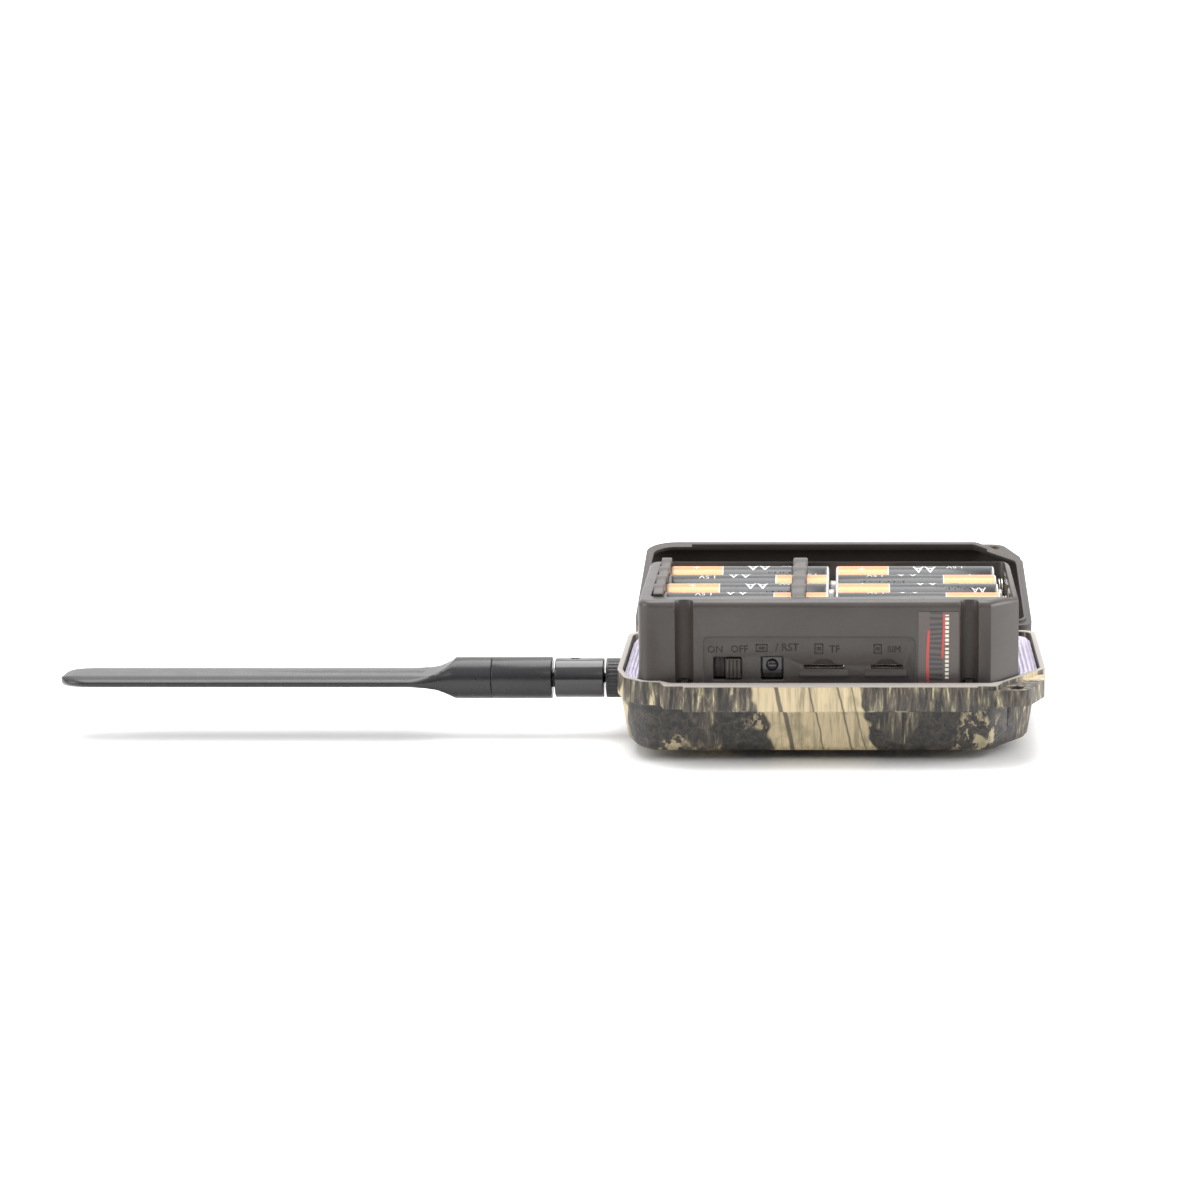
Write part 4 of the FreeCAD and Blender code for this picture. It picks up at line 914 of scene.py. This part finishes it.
class TRAILCAM_OT_controls(bpy.types.Operator):
    """Build the switch, the button, the moulded markings and the sticker"""
    bl_idname = "trailcam.controls"
    bl_label = "Control Panel"

    def execute(self, context):
        softened("power_switch_knob", "housing", "switch_knob", "housing_plastic", width=0.00016)
        self.button()
        self.markings()
        for node in ("power_switch_body", "reset_switch"):
            coat(node, "satin_black")
        for node in ("tf_socket", "sim_socket"):
            coat(node, "spring_steel")
        coat("label_plate", "label_art")
        return {"FINISHED"}

    def button(self):
        """Glossy dome on a square flange with turned-in corners."""
        low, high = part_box("reset_button")
        centre = Vector(((low.x + high.x) / 2, low.y, 28.4 * MM))
        deep = (high.y - low.y) / MM
        dome = [(0.02, 0.3), (0.10, 0.75), (0.28, 1.2), (0.55, 1.55), (0.9, 1.76), (1.25, 1.8), (deep, 1.8)]
        piece = lathe("reset_button_dome", dome, finish_for("gloss_black"))
        piece.matrix_world = Matrix.Translation(centre) @ Matrix.Rotation(math.pi / 2, 4, "Z")
        seat(piece, "reset_button", "gloss_black", "reset_button")
        flange = self.flange(centre.x / MM, -34.6, -34.0)
        seat(flange, "reset_button", "gloss_black")

    def flange(self, x, front, back):
        bm = bmesh.new()
        bmesh.ops.create_cube(bm, size=1.0)
        bmesh.ops.scale(bm, vec=(6.0 * MM, (back - front) * MM, 6.4 * MM), verts=bm.verts)
        bmesh.ops.translate(bm, vec=(x * MM, (front + back) / 2 * MM, 27.75 * MM), verts=bm.verts)
        bmesh.ops.bevel(bm, geom=bm.edges[:] + bm.verts[:], offset=0.18 * MM, segments=3, affect="EDGES")
        return add_mesh("reset_button_flange", bm, finish_for("gloss_black"))

    def markings(self):
        """Raised generic words and symbols above the controls, in a darker brown that is painted shade."""
        wall = -36.3 * MM
        upright = Matrix.Rotation(math.pi / 2, 4, "X")
        for name, words, x, z, size in (
            ("mark_on", "ON", -33.5, 33.2, 2.9), ("mark_off", "OFF", -26.5, 33.3, 2.9),
            ("mark_reset", "/ RST", -12.6, 33.8, 3.1), ("mark_card", "TF", 1.2, 33.3, 2.9),
            ("mark_sim", "SIM", 18.5, 33.2, 2.7),
        ):
            piece = lettering(name, words, size, finish_for("markings"), depth=0.2)
            piece.matrix_world = Matrix.Translation((x * MM, wall, z * MM)) @ upright
            seat(piece, "camera", "housing_plastic")
        for name, x, z, wide, tall in (
            ("mark_camera", -20.0, 33.7, 3.4, 2.3), ("mark_card_icon", -3.4, 33.5, 2.6, 3.0),
            ("mark_sim_icon", 13.7, 33.4, 2.4, 2.8),
        ):
            seat(self.icon(name, x, z, wide, tall, wall), "camera", "housing_plastic")

    def icon(self, name, x, z, wide, tall, wall):
        """A small outlined symbol: a frame with a bar inside it."""
        bm = bmesh.new()
        line = 0.3
        bars = [
            (-wide / 2, wide / 2, tall / 2 - line, tall / 2),
            (-wide / 2, wide / 2, -tall / 2, -tall / 2 + line),
            (-wide / 2, -wide / 2 + line, -tall / 2, tall / 2),
            (wide / 2 - line, wide / 2, -tall / 2, tall / 2),
            (-wide / 4, wide / 4, -tall / 6, tall / 6),
        ]
        for left, right, low, high in bars:
            made = bmesh.ops.create_cube(bm, size=1.0)["verts"]
            bmesh.ops.scale(bm, vec=((right - left) * MM, 0.2 * MM, (high - low) * MM), verts=made)
            bmesh.ops.translate(bm, vec=((x + (left + right) / 2) * MM, wall, (z + (low + high) / 2) * MM),
                                verts=made)
        bmesh.ops.bevel(bm, geom=bm.edges[:], offset=0.04 * MM, segments=1, affect="EDGES")
        return add_mesh(name, bm, finish_for("markings"), smooth=False)


class TRAILCAM_OT_antenna(bpy.types.Operator):
    """Build the scooped paddle and finish the antenna's joint pieces"""
    bl_idname = "trailcam.antenna"
    bl_label = "Antenna"

    def execute(self, context):
        self.paddle(context.scene.camera_antenna)
        softened("antenna_sleeve", "satin_black", "antenna", "black_plastic")
        softened("antenna_base", "gloss_black", "antenna_base", "gloss_black")
        coat("antenna_nut", "satin_black")
        coat("antenna_jack", "brass")
        coat("antenna_pin", "steel")
        coat("antenna_pigtail", "satin_black")
        return {"FINISHED"}

    def paddle(self, settings):
        """Round root scooped on both faces to a flat paddle with full round edges and tip."""
        low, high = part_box("antenna_blade")
        centre_z = (low.z + high.z) / 2
        wide = (high.y - low.y) / 2
        root_radius = (high.z - low.z) / 2
        half_thick = settings.edge_thickness / 2
        tip_round = wide * 0.95
        stations = [high.x, high.x - 0.3 * MM, settings.scoop_start + 3 * MM]
        steps = 26
        for step in range(steps + 1):
            reach = settings.scoop_start - settings.scoop_end + 5 * MM
            stations.append(settings.scoop_start - reach * step / steps)
        straight_end = low.x + tip_round
        runs = 40
        for step in range(1, runs + 1):
            stations.append(stations[2 + steps + 1] + (straight_end - stations[2 + steps + 1]) * step / runs)
        turns = 14
        for step in range(1, turns + 1):
            stations.append(straight_end - tip_round * math.sin(math.pi / 2 * step / turns * 0.985))
        bm = bmesh.new()
        rings = []
        for x in stations:
            rings.append([bm.verts.new(corner) for corner in self.section(
                x, low.x, wide, root_radius, half_thick, tip_round, centre_z, settings)])
        count = len(rings[0])
        for first, second in zip(rings, rings[1:]):
            for index in range(count):
                after = (index + 1) % count
                bm.faces.new((first[index], first[after], second[after], second[index]))
        bm.faces.new(rings[0])
        bm.faces.new(list(reversed(rings[-1])))
        piece = add_mesh("antenna_paddle", bm, finish_for("satin_black"))
        seat(piece, "antenna", "black_plastic", "antenna_blade")

    def section(self, x, tip, wide, root_radius, half_thick, tip_round, centre_z, settings):
        """One ring of the paddle: the lesser of a round section and the scooped height."""
        scoop = (settings.scoop_start - x) / (settings.scoop_start - settings.scoop_end)
        scoop = min(1.0, max(0.0, scoop))
        spread = (settings.scoop_start - x) / (settings.scoop_start - settings.scoop_end + 4 * MM)
        spread = min(1.0, max(0.0, spread))
        spread = spread * spread * (3 - 2 * spread)
        half_wide = root_radius + (wide - root_radius) * spread
        height = root_radius + (half_thick - root_radius) * math.sin(math.pi / 2 * scoop) ** 0.8
        full = root_radius + (half_thick * 1.25 - root_radius) * spread
        if x < tip + tip_round:
            share = min(1.0, (tip + tip_round - x) / tip_round)
            half_wide *= math.sqrt(max(0.004, 1 - share * share))
            height *= math.sqrt(max(0.05, 1 - share ** 4))
        ring = []
        samples = 48
        for index in range(samples):
            angle = 2 * math.pi * index / samples
            y = half_wide * math.cos(angle)
            z = full * math.sin(angle)
            ring.append((x, y, centre_z + max(-height, min(height, z)) - self.groove(x, y, z, settings)))
        return ring

    def groove(self, x, y, z, settings):
        """A shallow groove along the middle of the upper face, dying out towards the tip."""
        if z < 0 or x < settings.groove_end or x > settings.scoop_end:
            return 0.0
        fade = min(1.0, (x - settings.groove_end) / 0.02)
        return 0.25 * MM * fade * max(0.0, 1 - abs(y) / (0.9 * MM))


class TRAILCAM_OT_optics(bpy.types.Operator):
    """Finish the window, lamps, lens and sensors in the front face"""
    bl_idname = "trailcam.optics"
    bl_label = "Front Face"

    def execute(self, context):
        for node, name in (
            ("led_window", "window"), ("led_board", "board"), ("ir_leds", "lamps"),
            ("lens_barrel", "satin_black"), ("lens_glass", "glass"), ("image_sensor", "gloss_black"),
            ("pir_lens", "milky_lens"),
            ("pir_sensor", "steel"), ("light_sensor_window", "window"), ("status_led", "lamps"),
            ("microphone", "steel"),
        ):
            coat(node, name)
        return {"FINISHED"}


class TRAILCAM_OT_electronics(bpy.types.Operator):
    """Finish the boards, the modem and the sockets in the tripod end"""
    bl_idname = "trailcam.electronics"
    bl_label = "Electronics and Sockets"

    def execute(self, context):
        for node, name in (
            ("main_board", "board"), ("modem_module", "spring_steel"), ("tripod_insert", "brass"),
            ("dc_jack", "satin_black"), ("dc_plug", "soft_rubber"),
        ):
            coat(node, name)
        return {"FINISHED"}


class TRAILCAM_PT_sidebar(bpy.types.Panel):
    bl_idname = "TRAILCAM_PT_sidebar"
    bl_label = "Trail Camera"
    bl_space_type = "VIEW_3D"
    bl_region_type = "UI"
    bl_category = "Trail Camera"

    def draw(self, context):
        for name in STEPS:
            self.layout.operator(f"trailcam.{name}")


STEPS = ("stage", "shells", "housing", "seal", "cells", "controls", "antenna", "optics", "electronics")
SETTINGS = {
    "camera_stage": StageSettings,
    "camera_plastic": PlasticSettings,
    "camera_camouflage": CamouflageSettings,
    "camera_cells": CellSettings,
    "camera_seal": SealSettings,
    "camera_antenna": AntennaSettings,
}
CLASSES = (
    *SETTINGS.values(), TRAILCAM_OT_stage, TRAILCAM_OT_shells, TRAILCAM_OT_housing, TRAILCAM_OT_seal,
    TRAILCAM_OT_cells, TRAILCAM_OT_controls, TRAILCAM_OT_antenna, TRAILCAM_OT_optics, TRAILCAM_OT_electronics,
    TRAILCAM_PT_sidebar,
)


def register():
    for item in CLASSES:
        bpy.utils.register_class(item)
    for name, group in SETTINGS.items():
        setattr(bpy.types.Scene, name, PointerProperty(type=group))


def unregister():
    for name in SETTINGS:
        delattr(bpy.types.Scene, name)
    for item in reversed(CLASSES):
        bpy.utils.unregister_class(item)


def main():
    register()
    for name in STEPS:
        getattr(bpy.ops.trailcam, name)()


if __name__ == "__main__":
    main()
